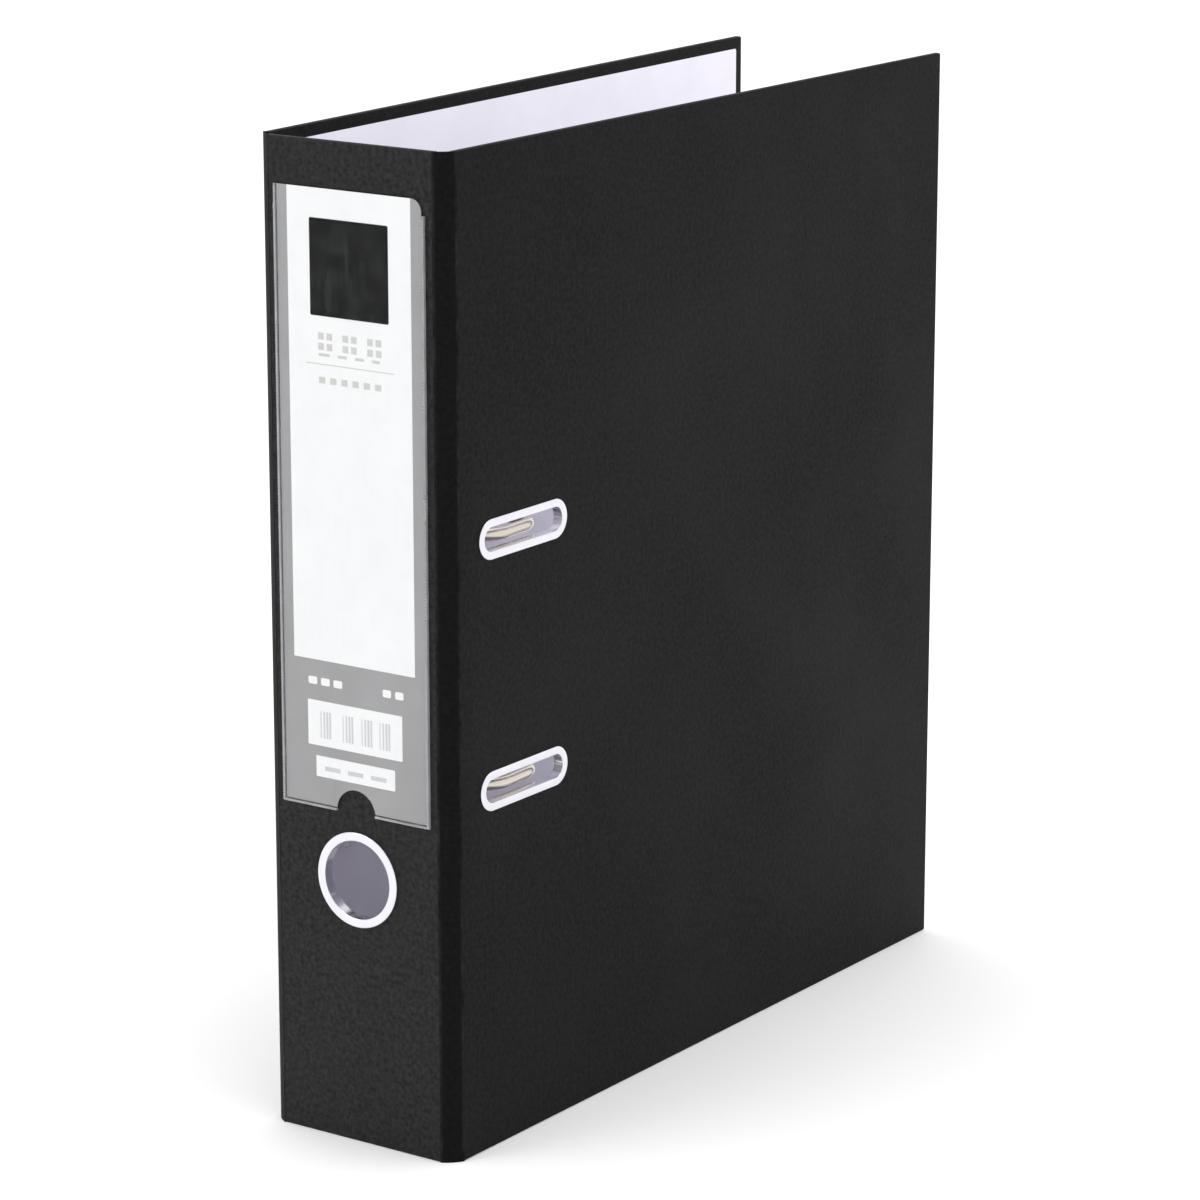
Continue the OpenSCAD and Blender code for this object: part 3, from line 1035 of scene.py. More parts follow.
@dataclass
class HingeStrip:
    """The flexible strip of covering between the spine and one cover.

    Attributes:
        name: the strip's name.
        node: the node that it stands for.
        cover: the cover's body.
        side: 1 on the front cover's side and -1 on the back cover's.
        swing: how that cover is turned into place.
        cover_nodes: the cover's board and covering.
        columns: how many steps the strip has across.
        bulge: how far its middle stands out.
        crease: how deep the creases along its edges are.
        tuck: how far it reaches under the boards' wrapping.
        thickness: the thickness of the strip.
    """

    name: str
    node: str
    cover: Body
    side: int
    swing: Swing
    cover_nodes: tuple[str, str]
    columns: int = 16
    bulge: float = 0.25 * MM
    crease: float = 0.3 * MM
    tuck: float = 0.5 * MM
    thickness: float = 0.5 * MM

    def ends(self) -> tuple[Vector, Vector]:
        """The outer corners of the spine and of the cover that the strip joins, on the floor."""
        spine_low, spine_high = square().box("spine_board", "spine_cloth")
        cover_low, cover_high = self.swing.box(*self.cover_nodes)
        at_spine = Vector((spine_high.x if self.side > 0 else spine_low.x, spine_low.y, spine_low.z))
        edge = Vector((cover_high.x if self.side > 0 else cover_low.x, cover_low.y, cover_low.z))
        return at_spine, self.swing.matrix() @ edge

    def build(self, covering: Covering, effects: Effects) -> None:
        """Models and dresses the strip.

        Args:
            covering: its finish, a darker copy of the covering that carries painted shade.
            effects: the shared node groups.
        """
        at_spine, at_cover = self.ends()
        first, last = (at_spine, at_cover) if self.side > 0 else (at_cover, at_spine)
        along = (last - first).normalized()
        outwards = Vector((along.y, -along.x, 0))
        length = (last - first).length + 2 * self.tuck
        height = frame_box[1].z - frame_box[0].z
        middle = (first + last) / 2 + Vector((0, 0, height / 2))
        bpy.ops.object.select_all(action="DESELECT")
        bpy.ops.mesh.primitive_grid_add(
            x_subdivisions=self.columns, y_subdivisions=1, size=1, location=middle,
            rotation=(math.pi / 2, 0, math.atan2(along.y, along.x)),
        )
        bpy.context.active_object.scale = (length, height, 1)
        piece = settled(self.name)
        with shaping(piece):
            for column in range(self.columns + 1):
                share = column / self.columns
                place = (share - 0.5) * length
                rise = (self.bulge + self.crease) * math.sin(math.pi * share) - self.crease
                pick(Part.VERTICES, lambda vert: abs((vert.co - middle).dot(along) - place) < TINY)
                bpy.ops.transform.translate(value=outwards * rise)
        finished_with(piece, "SOLIDIFY", thickness=self.thickness, offset=-1.0, use_even_offset=True)
        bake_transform(piece, Body.SPINE.value, self.cover.value, start=at_spine, end=at_cover)
        low, high = square().box(self.node)
        black = covering.material(effects, low, high)
        dress(piece, black, self.cover, "hinge_covering", self.node)


# ---------- pressed fittings ----------


def stood_at(piece: Object, seat: Sequence[float], turn: Sequence[float]) -> Object:
    """Turns a piece that was modelled at the origin and moves it to its seat.

    Args:
        piece: the piece.
        seat: where its origin goes.
        turn: its turn about X, Y and Z.

    Returns:
        The same piece, with its object at the origin.
    """
    piece.location = seat
    piece.rotation_euler = turn
    only(piece)
    return settled(piece.name)


@dataclass
class PressedRing:
    """A pressed eyelet, ring or washer: a flange with rolled edges and a barrel through the wall.

    It is modelled at the origin with its flange on z = 0 looking up, and then stood in its place.

    Attributes:
        outer: the flange's half height.
        bore: the opening's half height.
        straight: the straight length between its round ends, 0 for a round one.
        flange: the flange's thickness.
        barrel: the barrel's length behind the flange.
        sheet: the barrel's thickness.
        roll: the rounding of the flange's edges.
        sides: how many sides its outline has.
    """

    outer: float
    bore: float
    straight: float
    flange: float
    barrel: float
    sheet: float = 0.4 * MM
    roll: float = 0.22 * MM
    sides: int = 90

    def stretch(self) -> None:
        """Pulls the round outline of the shaped piece out to a slot with round ends."""
        if not self.straight:
            return
        for side in (-1, 1):
            pick(Part.VERTICES, lambda vert: vert.co.y * side > 0)
            bpy.ops.transform.translate(value=(0, side * self.straight / 2, 0))

    def shape(self, name: str) -> Object:
        """Models it at the origin.

        Args:
            name: the piece's name.

        Returns:
            The piece, looking up.
        """
        piece = rod(name, (0, 0, self.flange / 2), Axis.Z, self.flange, self.outer, self.sides)
        with shaping(piece):
            self.stretch()
            pick(Part.FACES, lambda face: faces_to(face, Axis.Z, -1))
            if self.barrel:
                bpy.ops.mesh.inset(thickness=self.outer - self.bore - self.sheet)
                bpy.ops.mesh.extrude_region_move(TRANSFORM_OT_translate={"value": (0, 0, -self.barrel)})
                bpy.ops.mesh.inset(thickness=self.sheet)
            else:
                bpy.ops.mesh.inset(thickness=self.outer - self.bore)
            pick(Part.FACES, lambda face: faces_to(face, Axis.Z, 1))
            bpy.ops.mesh.inset(thickness=self.outer - self.bore)
            pick(Part.FACES, lambda face: abs(face.normal.z) > 0.99 and len(face.verts) == self.sides)
            bpy.ops.mesh.bridge_edge_loops()
            pick(Part.EDGES, lambda edge: is_sharp(edge) and lies_at(edge, Axis.Z, self.flange))
            bevel(self.roll, 5)
        return piece

    def stood(self, name: str, seat: Sequence[float], turn: Sequence[float]) -> Object:
        """Models it and stands it in its place.

        Args:
            name: the piece's name.
            seat: the middle of its opening, on the wall's surface.
            turn: the turn that points its flange outwards.

        Returns:
            The piece.
        """
        return stood_at(self.shape(name), seat, turn)

    def hole(self, seat: Sequence[float], turn: Sequence[float], reach: float) -> Object:
        """Makes the shape of the hole that its barrel goes through.

        Args:
            seat: the middle of the opening.
            turn: the turn that it is stood with.
            reach: how far the hole reaches each way.

        Returns:
            A closed shape to cut with.
        """
        piece = rod("hole", (0, 0, 0), Axis.Z, 2 * reach, self.bore + self.sheet - TINY, self.sides)
        with shaping(piece):
            self.stretch()
        return stood_at(piece, seat, turn)


LOOKING_RIGHT = (0, math.pi / 2, 0)
LOOKING_LEFT = (0, -math.pi / 2, 0)
LOOKING_FORWARD = (math.pi / 2, 0, 0)
LOOKING_BACK = (-math.pi / 2, 0, 0)


@dataclass
class SlottedEyelets:
    """The two slotted eyelets of the front cover and the washers inside it.

    Attributes:
        rim: the width of the flange round the slot.
    """

    rim: float = 2.6 * MM

    def ring(self) -> PressedRing:
        """The eyelet's shape, from the size of its node."""
        low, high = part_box("eyelet_upper")
        wall = high.x - low.x
        outer = (high.z - low.z) / 2
        flange = high.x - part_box("front_cloth")[1].x
        return PressedRing(outer, outer - self.rim, high.y - low.y - 2 * outer, flange, wall - flange)

    def washer(self) -> PressedRing:
        """The washer's shape, with the same opening."""
        low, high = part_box("eyelet_washer_upper")
        eyelet = self.ring()
        outer = (high.z - low.z) / 2
        return PressedRing(outer, eyelet.bore, eyelet.straight, high.x - low.x, 0, roll=0.15 * MM)

    def seats(self) -> list[tuple[str, Vector]]:
        """Each eyelet's name and the middle of its opening on the cover's outside."""
        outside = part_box("front_cloth")[1].x
        found = []
        for place in ("upper", "lower"):
            low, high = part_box(f"eyelet_{place}")
            found.append((place, Vector((outside, (low.y + high.y) / 2, (low.z + high.z) / 2))))
        return found

    def holes(self) -> list[Object]:
        """The shapes of the slots through the cover."""
        return [self.ring().hole(seat, LOOKING_RIGHT, 10 * MM) for _, seat in self.seats()]

    def build(self, materials: Materials) -> None:
        """Models and dresses the eyelets and their washers.

        Args:
            materials: the file's materials.
        """
        for place, seat in self.seats():
            eyelet = self.ring().stood(f"slotted_eyelet_{place}", seat, LOOKING_RIGHT)
            dress(eyelet, materials.eyelet, Body.FRONT_COVER, "eyelet_metal", f"eyelet_{place}")
            inside = Vector((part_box(f"eyelet_washer_{place}")[1].x, seat.y, seat.z))
            washer = self.washer().stood(f"slotted_washer_{place}", inside, LOOKING_LEFT)
            dress(washer, materials.eyelet, Body.FRONT_COVER, "eyelet_metal", f"eyelet_washer_{place}")


@dataclass
class FingerRing:
    """The ring round the finger hole in the spine, with its washer inside.

    Attributes:
        rim: the width of the ring's flange.
    """

    rim: float = 2.9 * MM

    def ring(self) -> PressedRing:
        """The ring's shape, from the size of its node."""
        low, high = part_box("finger_ring")
        outer = (high.z - low.z) / 2
        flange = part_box("spine_cloth")[0].y - low.y
        wall = high.y - low.y - flange
        return PressedRing(outer, outer - self.rim, 0, flange, wall, roll=0.42 * MM, sides=128)

    def seat(self) -> Vector:
        """The middle of the finger hole, on the spine's outside."""
        low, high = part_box("finger_ring")
        return Vector(((low.x + high.x) / 2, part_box("spine_cloth")[0].y, (low.z + high.z) / 2))

    def holes(self) -> list[Object]:
        """The shape of the hole through the spine."""
        return [self.ring().hole(self.seat(), LOOKING_FORWARD, 10 * MM)]

    def build(self, materials: Materials) -> None:
        """Models and dresses the ring and its washer.

        Args:
            materials: the file's materials.
        """
        ring = self.ring()
        piece = ring.stood("finger_hole_ring", self.seat(), LOOKING_FORWARD)
        dress(piece, materials.eyelet, Body.SPINE, "eyelet_metal", "finger_ring")
        low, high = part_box("finger_ring_washer")
        washer = PressedRing((high.z - low.z) / 2, ring.bore, 0, high.y - low.y, 0, roll=0.15 * MM, sides=128)
        inside = Vector((self.seat().x, low.y, self.seat().z))
        piece = washer.stood("finger_hole_washer", inside, LOOKING_BACK)
        dress(piece, materials.eyelet, Body.SPINE, "eyelet_metal", "finger_ring_washer")


# ---------- label ----------


@dataclass(frozen=True)
class Patch:
    """A printed rectangle on the card, measured from the card's middle line and from the floor."""

    left: float
    right: float
    bottom: float
    top: float


@dataclass
class Label:
    """The film pocket on the spine and the printed card in it.

    Attributes:
        corner: the radius of the pocket's upper corner towards the front cover.
        notch: the radius of the thumb notch.
        seam: the width of the welded seam.
        ridge_pitch: the distance between the ridges of the weld.
        ink: the thickness that a print stands over the card.
    """

    corner: float = 5.0 * MM
    notch: float = 7.6 * MM
    seam: float = 0.7 * MM
    ridge_pitch: float = 1.05 * MM
    ink: float = 0.03 * MM

    def thumb_notch(self) -> Object:
        """The shape of the half-round notch at the pocket's lower edge."""
        low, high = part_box("label_pocket")
        return rod("notch", ((low.x + high.x) / 2, low.y, low.z), Axis.Y, 20 * MM, self.notch, 96)

    def sheet(self, name: str, low: Vector, high: Vector, corner: float, softening: float) -> Object:
        """Models a flat sheet with one round upper corner and the thumb notch.

        Args:
            name: the piece's name.
            low: its lowest corner.
            high: its highest corner.
            corner: the radius of its round corner.
            softening: the rounding of its front edges.

        Returns:
            The sheet.
        """
        piece = block(name, low, high)
        with shaping(piece):
            pick(Part.EDGES, lambda edge: lies_at(edge, Axis.X, high.x) and lies_at(edge, Axis.Z, high.z))
            bevel(corner, 12)
        cut(piece, self.thumb_notch())
        with shaping(piece):
            pick(Part.EDGES, lambda edge: is_sharp(edge) and lies_at(edge, Axis.Y, low.y))
            bevel(softening, 2)
        return piece

    def pocket(self, materials: Materials) -> None:
        """Models and dresses the film and its welded seam."""
        low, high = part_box("label_pocket")
        front = Vector(low)
        film_back = Vector((high.x, low.y + 0.2 * MM, high.z))
        film = self.sheet("pocket_film", front, film_back, self.corner, 0.06 * MM)
        dress(film, materials.film, Body.SPINE, "film", "label_pocket")
        top = high.z - self.corner
        bars = []
        for side in (-1, 1):
            edges = sorted((side * high.x, side * (high.x - self.seam)))
            upper_end = high.z if side < 0 else top
            bars.append(block("bar", (edges[0], film_back.y, low.z), (edges[1], high.y, upper_end)))
            inner = sorted((side * self.notch, side * (high.x - self.seam)))
            bars.append(block("bar", (inner[0], film_back.y, low.z), (inner[1], high.y, low.z + self.seam)))
            ridge = block(
                "ridge",
                (edges[0], low.y - 0.07 * MM, low.z + 0.4 * MM),
                (edges[1], low.y + 0.02 * MM, low.z + 0.4 * MM + self.ridge_pitch / 2),
            )
            with shaping(ridge):
                pick(Part.EDGES, lambda edge: is_sharp(edge) and lies_at(edge, Axis.Y, low.y - 0.07 * MM))
                bevel(0.05 * MM, 1)
            count = int((top - low.z) / self.ridge_pitch)
            finished_with(
                ridge, "ARRAY", count=count, use_relative_offset=False, use_constant_offset=True,
                constant_offset_displace=(0, 0, self.ridge_pitch),
            )
            bars.append(ridge)
        dress(joined("pocket_weld", bars), materials.weld, Body.SPINE, "film")

    def card(self, materials: Materials) -> None:
        """Models and dresses the card."""
        low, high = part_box("label_card")
        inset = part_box("label_pocket")[1].x - high.x
        piece = self.sheet("title_card", low, high, self.corner - inset, 0.03 * MM)
        dress(piece, materials.card, Body.LABEL_CARD, "card", "label_card")

    def printed(self, name: str, patches: Sequence[Patch], layer: int, material: Material,
                corner: float = 0.0) -> None:
        """Models and dresses the rectangles of one ink.

        Args:
            name: the piece's name.
            patches: the rectangles.
            layer: 0 on the card itself, 1 on a print.
            material: the ink.
            corner: the radius of the rectangles' corners.
        """
        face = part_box("label_card")[0].y
        back = face - layer * self.ink + TINY
        plates = []
        for patch in patches:
            low = Vector((patch.left, face - (layer + 1) * self.ink, patch.bottom))
            high = Vector((patch.right, back, patch.top))
            plate = block("patch", low, high)
            if corner:
                with shaping(plate):
                    pick(Part.EDGES, lambda edge: runs_along(edge, Axis.Y))
                    bevel(corner, 5)
            plates.append(plate)
        dress(joined(name, plates), material, Body.LABEL_CARD, "card")

    def centred(self, half_width: float, bottom: float, top: float) -> Patch:
        """A rectangle on the card's middle line."""
        return Patch(-half_width, half_width, bottom, top)

    def bars(self, left: float, right: float, bottom: float, top: float, count: int) -> list[Patch]:
        """Upright bars of changing width, which stand for a stock code and hold none.

        Args:
            left: the left end of the row.
            right: its right end.
            bottom: the bars' lower end.
            top: their upper end.
            count: how many there are.

        Returns:
            The bars.
        """
        pitch = (right - left) / count
        return [
            Patch(
                left + index * pitch,
                left + (index + 0.3 + 0.35 * abs(math.sin(2.4 * index))) * pitch,
                bottom,
                top,
            )
            for index in range(count)
        ]

    def dashes(self, start: float, bottom: float, height: float, widths: Sequence[float],
               gap: float) -> list[Patch]:
        """A row of plain dashes, which stands for a line of print.

        Args:
            start: the left end of the row.
            bottom: the dashes' lower edge.
            height: their height.
            widths: each dash's width.
            gap: the space between two dashes.

        Returns:
            The dashes.
        """
        row = []
        for width in widths:
            row.append(Patch(start, start + width, bottom, bottom + height))
            start += width + gap
        return row

    def clusters(self, middles: Sequence[float], bottom: float, size: float) -> list[Patch]:
        """Squares of four dots each, which stand for a heading.

        Args:
            middles: the middle of each square.
            bottom: their lower edge.
            size: their size.

        Returns:
            The dots.
        """
        dot = 0.4 * size
        return [
            Patch(left, left + dot, low, low + dot)
            for middle in middles
            for left in (middle - size / 2, middle + size / 2 - dot)
            for low in (bottom, bottom + size - dot)
        ]

    def prints(self, materials: Materials) -> None:
        """Models and dresses all that is printed on the card, in plain bars and blocks."""
        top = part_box("label_card")[1].z
        panel = self.centred(23.5 * MM, 156 * MM, top)
        code = self.centred(18.4 * MM, 128.4 * MM, 142.9 * MM)
        strip = self.centred(15.4 * MM, 118.4 * MM, 125.1 * MM)
        self.printed("print_panel", [panel], 0, materials.print_white)
        self.printed("print_code_panel", [code, strip], 0, materials.print_white, corner=0.3 * MM)

        emblem = self.centred(15 * MM, 264.4 * MM, 294.4 * MM)
        self.printed("print_block", [emblem], 1, materials.print_dark, corner=0.6 * MM)

        heading_spread = 9.4 * MM
        heading = self.clusters((-heading_spread, 0.0, heading_spread), 253.9 * MM, 5.4 * MM)
        text_left = -12 * MM
        word_widths = (4.2 * MM, 3.4 * MM, 3.4 * MM, 2.8 * MM)
        subtitle = self.dashes(text_left, 252.0 * MM, 0.9 * MM, word_widths, 3.2 * MM)
        small = self.dashes(text_left, 243.6 * MM, 2.0 * MM, (2.4 * MM,) * 6, 1.9 * MM)
        rule = self.centred(16.9 * MM, 249.35 * MM, 249.65 * MM)
        self.printed("print_lines", [*heading, *subtitle, *small, rule], 1, materials.print_grey)

        mark_bottom, mark_height = 148 * MM, 2.4 * MM
        marks = self.dashes(-18 * MM, mark_bottom, mark_height, (3.4 * MM,) * 3, 1.5 * MM)
        marks += self.dashes(11 * MM, mark_bottom, mark_height, (3.2 * MM,) * 2, 1.6 * MM)
        self.printed("print_marks", marks, 0, materials.print_white, corner=0.5 * MM)

        group_width, group_bars = 4.6 * MM, 4
        code_bars = []
        for left in (-13.5 * MM, -4.8 * MM, 2.6 * MM, 9.6 * MM):
            code_bars += self.bars(left, left + group_width, 131 * MM, 139.6 * MM, group_bars)
        note = self.dashes(text_left, 120.6 * MM, 1.4 * MM, (6 * MM,) * 3, 3 * MM)
        self.printed("print_code", [*code_bars, *note], 1, materials.print_pale)

    def build(self, materials: Materials) -> None:
        """Models and dresses the pocket, the card and its prints.

        Args:
            materials: the file's materials.
        """
        self.pocket(materials)
        self.card(materials)
        self.prints(materials)


# ---------- mechanism ----------


@dataclass
class Mechanism:
    """The base plate on the back cover, with its rivets, posts, arch and spring.

    Attributes:
        swing: the back cover's turn.
        sheet: the thickness of the plate.
        corner: the radius of the plate's corners.
        bearing_reach: how far each bearing lug is from the middle.
        bearing_t: the thickness of a bearing lug.
        lug_t: the thickness of the lever's lugs.
        lever_w: the width of the lever between its lugs.
        rivet_spread: how far the rivets are from the middle, along the plate and across it.
        rivet_r: the radius of a rivet's head outside.
        rivet_inner_t: the height of its head inside.
        shank_r: the radius of its shank.
        bearing_r: the radius of a bearing lug's head.
        pin_lug_r: the radius of the head of a lever lug.
        axle_hole_r: the radius of the hole for the arch's axle.
        bead_l: the length of a stiffening bead.
        bead_spread: how far the beads' middles are from the middle of the plate.
        bead_rows: how far the two rows of beads are from the plate's near and far edge.
        leaf_steps: how many steps the leaf spring bends in.
        leaf_clamped: the length of the leaf spring that stays flat on the plate.
        crank_reach: how far the crank is from the axle.
    """

    swing: Swing
    sheet: float = 1.0 * MM
    corner: float = 5.0 * MM
    bearing_reach: float = 30.0 * MM
    bearing_t: float = 3.0 * MM
    lug_t: float = 1.5 * MM
    lever_w: float = 10.0 * MM
    rivet_spread: tuple[float, float] = (67.5 * MM, 14.0 * MM)
    rivet_r: float = 4.2 * MM
    rivet_inner_t: float = 0.8 * MM
    shank_r: float = 1.9 * MM
    bearing_r: float = 4.0 * MM
    pin_lug_r: float = 4.5 * MM
    axle_hole_r: float = 2.06 * MM
    bead_l: float = 44.0 * MM
    bead_spread: float = 42.0 * MM
    bead_rows: tuple[float, float] = (16.0 * MM, 20.0 * MM)
    leaf_steps: int = 12
    leaf_clamped: float = 10.0 * MM
    crank_reach: float = 15.0 * MM

    def plate_box(self) -> Box:
        """The corners of the plate itself, without its lugs."""
        low, high = self.swing.box("base_plate")
        high.x = low.x + self.sheet
        return low, high

    def lug(self, middle: Vector, half_y: float, half_z: float, radius: float, across: Axis) -> Object:
        """Models a lug with a round head.

        Args:
            middle: the centre of its head.
            half_y: half its size along the cover.
            half_z: half its size up the cover.
            radius: the radius of its head.
            across: the axis through its thickness.

        Returns:
            The lug.
        """
        base = self.plate_box()[0].x + self.sheet / 2
        low = Vector((base, middle.y - half_y, middle.z - half_z))
        high = Vector((middle.x + radius, middle.y + half_y, middle.z + half_z))
        piece = block("lug", low, high)
        with shaping(piece):
            pick(Part.EDGES, lambda edge: runs_along(edge, across) and lies_at(edge, Axis.X, high.x))
            bevel(radius - TINY, 8)
            pick(Part.EDGES, lambda edge: is_sharp(edge) and not lies_at(edge, Axis.X, low.x))
            bevel(0.18 * MM, 2)
        return piece

    def bead(self, middle: Vector, length: float) -> Object:
        """Models a pressed stiffening bead that runs up the plate.

        Args:
            middle: its centre, on the plate's face.
            length: its length.

        Returns:
            The bead.
        """
        width = 3.2 * MM
        piece = block(
            "bead",
            middle - Vector((self.sheet / 2, width / 2, length / 2)),
            middle + Vector((0.55 * MM, width / 2, length / 2)),
        )
        with shaping(piece):
            pick(Part.EDGES, lambda edge: runs_along(edge, Axis.X))
            bevel(width / 2 - TINY, 6)
            pick(Part.EDGES, lambda edge: is_sharp(edge) and lies_at(edge, Axis.X, middle.x + 0.55 * MM))
            bevel(0.45 * MM, 4)
        return piece

    def base(self) -> Object:
        """Models the base plate with its lugs and beads."""
        low, high = self.plate_box()
        piece = block("mechanism_plate", low, high)
        with shaping(piece):
            pick(Part.EDGES, lambda edge: runs_along(edge, Axis.X))
            bevel(self.corner, 8)
            pick(Part.EDGES, lambda edge: is_sharp(edge) and lies_at(edge, Axis.X, high.x))
            bevel(0.4 * MM, 3)
        middle = (low.z + high.z) / 2
        axle = self.swing.point(joint("arch_hinge")["pos_m"])
        pin = self.swing.point(joint("lever_hinge")["pos_m"])
        lug_y = (self.lever_w + self.lug_t) / 2
        lugs = []
        for side in (-1, 1):
            head = Vector((axle.x, axle.y, middle + side * self.bearing_reach))
            lugs.append(self.lug(head, self.bearing_r, self.bearing_t / 2, self.bearing_r, Axis.Z))
        for side in (-1, 1):
            head = Vector((pin.x, pin.y + side * lug_y, pin.z))
            lugs.append(self.lug(head, self.lug_t / 2, self.pin_lug_r, self.pin_lug_r, Axis.Y))
        near, far = self.bead_rows
        beads = [
            self.bead(Vector((high.x, place, middle + side * self.bead_spread)), self.bead_l)
            for side in (-1, 1)
            for place in (low.y + near, high.y - far)
        ]
        fuse(piece, *lugs, *beads)
        cut(piece, rod("axle_hole", (axle.x, axle.y, middle), Axis.Z, 200 * MM, self.axle_hole_r))
        return piece

    def rivets(self) -> Object:
        """Models one rivet with domed heads and copies it to the other places."""
        low, high = self.plate_box()
        outside = self.swing.box("mechanism_rivets")[0].x
        cloth = self.swing.box("back_cloth")[0].x
        middle = (low + high) / 2
        along, across = self.rivet_spread
        places = [(side_y * across, side_z * along) for side_y in (-1, 1) for side_z in (-1, 1)]
        start = Vector((0, middle.y + places[0][0], middle.z + places[0][1]))
        inside = high.x + self.rivet_inner_t

        def stub(name: str, first: float, last: float, radius: float) -> Object:
            """A round length of the rivet between two places across the cover."""
            return rod(name, start + Vector(((first + last) / 2, 0, 0)), Axis.X, last - first, radius)

        shank = stub("rivet", cloth, high.x, self.shank_r)
        outer_head = stub("head", outside, cloth, self.rivet_r)
        inner_head = stub("head", high.x, inside, self.rivet_r - MM)
        for head, crown in ((outer_head, outside), (inner_head, inside)):
            with shaping(head):
                pick(Part.EDGES, lambda edge: is_sharp(edge) and lies_at(edge, Axis.X, crown))
                bevel(0.7 * MM, 6)
        fuse(shank, outer_head, inner_head)
        copies = [
            copied(shank, "rivet", (0, place[0] - places[0][0], place[1] - places[0][1]))
            for place in places[1:]
        ]
        return joined("cover_rivets", [shank, *copies])

    def leaf(self) -> Object:
        """The leaf spring, which bends between the plate and the arch's crank."""
        piece = from_node("arch_spring", "leaf_spring", 0.08 * MM)
        low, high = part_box("arch_spring")
        with shaping(piece):
            for step in range(1, self.leaf_steps):
                place = low.y + (high.y - low.y) * step / self.leaf_steps
                bpy.ops.mesh.select_all(action="SELECT")
                bpy.ops.mesh.bisect(plane_co=(0, place, 0), plane_no=(0, 1, 0))
        axle = joint("arch_hinge")["pos_m"]
        start = (low.x, high.y - self.leaf_clamped, (low.z + high.z) / 2)
        tip = (low.x, axle[Axis.Y] + self.crank_reach, (low.z + high.z) / 2)
        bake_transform(piece, Body.BACK_COVER.value, Body.ARCH.value, start=start, end=tip)
        return piece

    def build(self, materials: Materials) -> None:
        """Models and dresses the fixed part of the mechanism and the arch.

        Args:
            materials: the file's materials.
        """
        plate = self.swing.place(self.base())
        dress(plate, materials.plate, Body.BACK_COVER, "mechanism_metal", "base_plate")
        rivets = self.swing.place(self.rivets())
        dress(rivets, materials.plate, Body.BACK_COVER, "mechanism_metal", "mechanism_rivets")
        dress(self.leaf(), materials.spring, Body.BACK_COVER, "spring_steel", "arch_spring")
        # The arch wire and the posts take the wire material, whose cream tint is painted reflection.
        redress("arch_wire", materials.wire)
        for node in ("post_upper", "post_lower"):
            redress(node, materials.wire)
        for node in ("spring_rivet", "lever_pivot_pins"):
            redress(node, materials.plate)


@dataclass
class Lever:
    """The lever with its grip, roller and roller pin.

    Attributes:
        swing: the back cover's turn.
        ribs: how many ribs the grip has.
        rib_pitch: the distance between them.
        rib_r: the radius of a rib.
        rib_inset: how much shorter than the grip a rib is.
        first_rib: how far the first rib is from the grip's upper end.
        face_rise: how far the grip's face is from the lever's pin, at the grip's upper end.
        face_slope: how much the face rises per length of the grip.
    """

    swing: Swing
    ribs: int = 6
    rib_pitch: float = 2.0 * MM
    rib_r: float = 0.45 * MM
    rib_inset: float = 1.6 * MM
    first_rib: float = 3.0 * MM
    face_rise: float = 6.1 * MM
    face_slope: float = 0.8 / 15

    def grip(self) -> Object:
        """Models the grip with ribs across its face."""
        piece = from_node("lever_grip", "lever_grip_cap", 0.35 * MM)
        low, high = self.swing.box("lever_grip")
        pin = self.swing.point(joint("lever_hinge")["pos_m"])
        ribs = []
        for index in range(self.ribs):
            place = high.z - self.first_rib - index * self.rib_pitch
            rise = pin.x + self.face_rise + self.face_slope * (high.z - place)
            length = high.y - low.y - self.rib_inset
            rib = rod("rib", (rise - 0.1 * MM, pin.y, place), Axis.Y, length, self.rib_r, 16)
            with shaping(rib):
                pick(Part.EDGES, is_sharp)
                bevel(0.15 * MM, 2)
            ribs.append(self.swing.place(rib))
        fuse(piece, *ribs)
        return piece

    def build(self, materials: Materials) -> None:
        """Models and dresses the lever's pieces.

        Args:
            materials: the file's materials.
        """
        channel = from_node("lever", "lever_channel", 0.2 * MM)
        dress(channel, materials.plate, Body.LEVER, "mechanism_metal", "lever")
        dress(self.grip(), materials.grip, Body.LEVER, "grip_plastic", "lever_grip")
        redress("roller_pin", materials.plate)
        redress("roller", materials.roller)


class Compressor:
    """The bar that holds the sheets down, with its two bushes."""

    def build(self, materials: Materials) -> None:
        """Models and dresses the bar and its bushes.

        Args:
            materials: the file's materials.
        """
        bar = from_node("compressor_bar", "press_bar", 0.3 * MM)
        dress(bar, materials.press, Body.COMPRESSOR, "compressor_metal", "compressor_bar")
        for place in ("upper", "lower"):
            bush = from_node(f"compressor_bush_{place}", f"press_bush_{place}", 0.25 * MM)
            dress(bush, materials.bush, Body.COMPRESSOR, "bush_plastic", f"compressor_bush_{place}")


# ---------- studio ----------


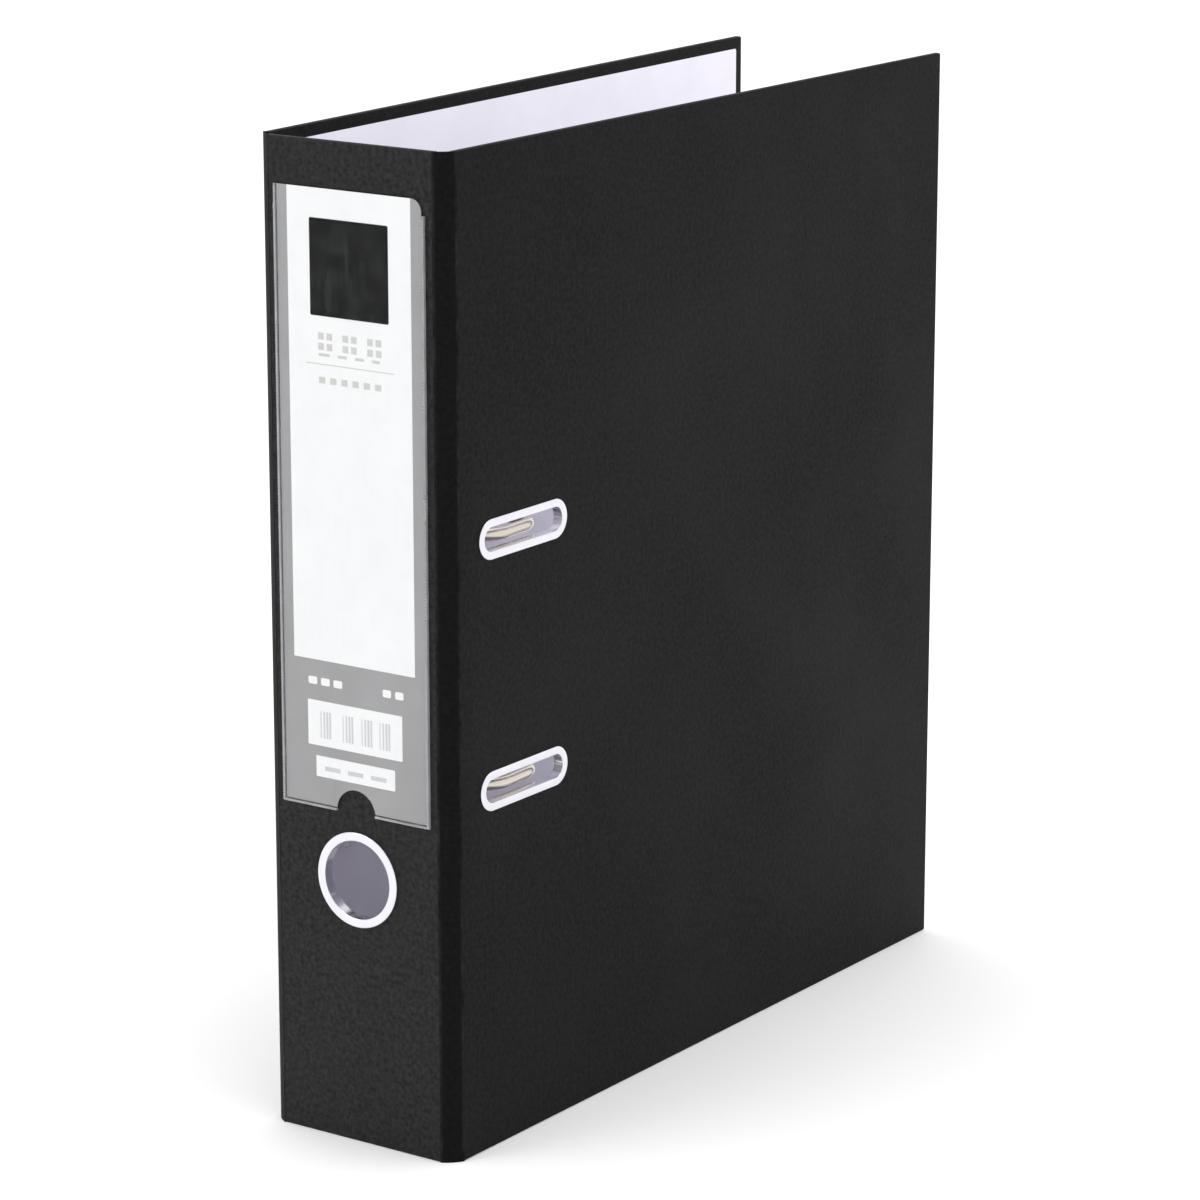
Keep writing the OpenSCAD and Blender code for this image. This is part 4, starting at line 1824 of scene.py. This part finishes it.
@dataclass
class Studio:
    """Floor, light and camera.

    Attributes:
        azimuth: the camera's direction round the file, in degrees.
        elevation: its height above the horizon, in degrees.
        distance: its distance from what it looks at.
        aim: the point that it looks at.
        lens: its focal length, in millimetres on a 36 mm sensor.
    """

    azimuth: float = 34.9
    elevation: float = 14.18
    distance: float = 1.4783
    aim: tuple[float, float, float] = (0.0057, 0.1222, 0.1522)
    lens: float = 134.64

    def floor(self) -> None:
        """Adds a pale floor with a faint unevenness."""
        bpy.ops.object.select_all(action="DESELECT")
        bpy.ops.mesh.primitive_plane_add(size=16, location=(0, 0, frame_box[0].z))
        piece = settled("floor")
        material = bpy.data.materials.new("pale_floor")
        material.use_nodes = True
        graph = Graph(material.node_tree)
        shader = material.node_tree.nodes["Principled BSDF"]
        shader.inputs["Roughness"].default_value = 0.85
        cloud = graph.add("TexNoise", Vector=graph.add("TexCoord").outputs["Object"], Scale=3.0, Detail=2.0)
        tone = graph.mixed(cloud.outputs["Fac"], (0.93, 0.93, 0.935, 1), (0.96, 0.96, 0.96, 1))
        graph.feed(shader.inputs["Base Color"], tone)
        piece.data.materials.append(material)

    def light(self) -> None:
        """Adds a white surround and soft lights over the spine and over the top."""
        scene = bpy.context.scene
        scene.view_settings.view_transform = "Standard"
        world = bpy.data.worlds.new("surround")
        world.use_nodes = True
        world.node_tree.nodes["Background"].inputs["Color"].default_value = (1.0, 1.0, 1.0, 1.0)
        world.node_tree.nodes["Background"].inputs["Strength"].default_value = 1.15
        scene.world = world
        for name, place, size, power in (
            ("key", (-1.2, -1.8, 1.9), 1.6, 12.0),
            ("top", (0.4, 0.3, 2.4), 2.0, 14.0),
        ):
            lamp = bpy.data.objects.new(name, bpy.data.lights.new(name, "AREA"))
            lamp.data.shape = "DISK"
            lamp.data.size = size
            lamp.data.energy = power
            lamp.location = place
            lamp.rotation_euler = (Vector(self.aim) - Vector(place)).to_track_quat("-Z", "Y").to_euler()
            scene.collection.objects.link(lamp)

    def camera(self) -> None:
        """Adds the camera at its viewing angle."""
        turn, rise = math.radians(self.azimuth), math.radians(self.elevation)
        back = Vector((math.sin(turn) * math.cos(rise), -math.cos(turn) * math.cos(rise), math.sin(rise)))
        camera = bpy.data.objects.new("camera", bpy.data.cameras.new("camera"))
        camera.data.lens = self.lens
        camera.data.sensor_width = 36.0
        camera.location = Vector(self.aim) + back * self.distance
        camera.rotation_euler = (-back).to_track_quat("-Z", "Y").to_euler()
        bpy.context.scene.collection.objects.link(camera)
        bpy.context.scene.camera = camera

    def build(self) -> None:
        """Adds the floor, the lights and the camera."""
        self.camera()
        self.floor()
        self.light()


def main() -> None:
    """Builds the whole file, piece by piece."""
    logging.basicConfig(level=logging.INFO, format="%(name)s: %(message)s")
    Studio().build()
    effects = Effects(grain_group(), wear_group(), polish_group(), fibre_group())
    materials = all_materials(effects)
    cover_black = Covering("covering", (0.0105, 0.0105, 0.0105, 1), 0.65, 0.1)
    # Painted light: the spine's copy of the covering gets a lighter black than the boards, to stand in for
    # the light falling on the spine. The real covering is one piece.
    spine_black_painted_light = Covering("spine_covering_painted_light", (0.025, 0.025, 0.025, 1), 0.65, 0.15)
    # Painted shade: the hinge strips' copy gets a darker black and a weaker reflection than the boards, to
    # stand in for the shade in the hinge grooves. Its shallower grain is real.
    hinge_black_painted_shade = Covering("hinge_covering", (0.0045, 0.0045, 0.0047, 1), 0.6, 0.08, depth=0.02 * MM)

    upright, leaning = square(), splayed()
    ring, eyelets = FingerRing(), SlottedEyelets()
    front_nodes, back_nodes = ("front_board", "front_cloth"), ("back_board", "back_cloth")
    spine = Panel(
        "spine_panel", Body.SPINE, ("spine_board", "spine_cloth"), "spine_liner", upright, Axis.Y, -1
    )
    front = Panel("front_cover_panel", Body.FRONT_COVER, front_nodes, "front_liner", upright, Axis.X, 1)
    back = Panel("back_cover_panel", Body.BACK_COVER, back_nodes, "back_liner", leaning, Axis.X, -1)
    spine.build(spine_black_painted_light, effects, materials.liner, ring.holes)
    front.build(cover_black, effects, materials.liner, eyelets.holes)
    back.build(cover_black, effects, materials.liner, list)
    for strip in (
        HingeStrip("front_hinge_strip", "front_hinge_cloth", Body.FRONT_COVER, 1, upright, front_nodes),
        HingeStrip("back_hinge_strip", "back_hinge_cloth", Body.BACK_COVER, -1, leaning, back_nodes),
    ):
        strip.build(hinge_black_painted_shade, effects)
    ring.build(materials)
    eyelets.build(materials)
    Label().build(materials)
    Mechanism(leaning).build(materials)
    Lever(leaning).build(materials)
    Compressor().build(materials)


if __name__ == "__main__":
    main()
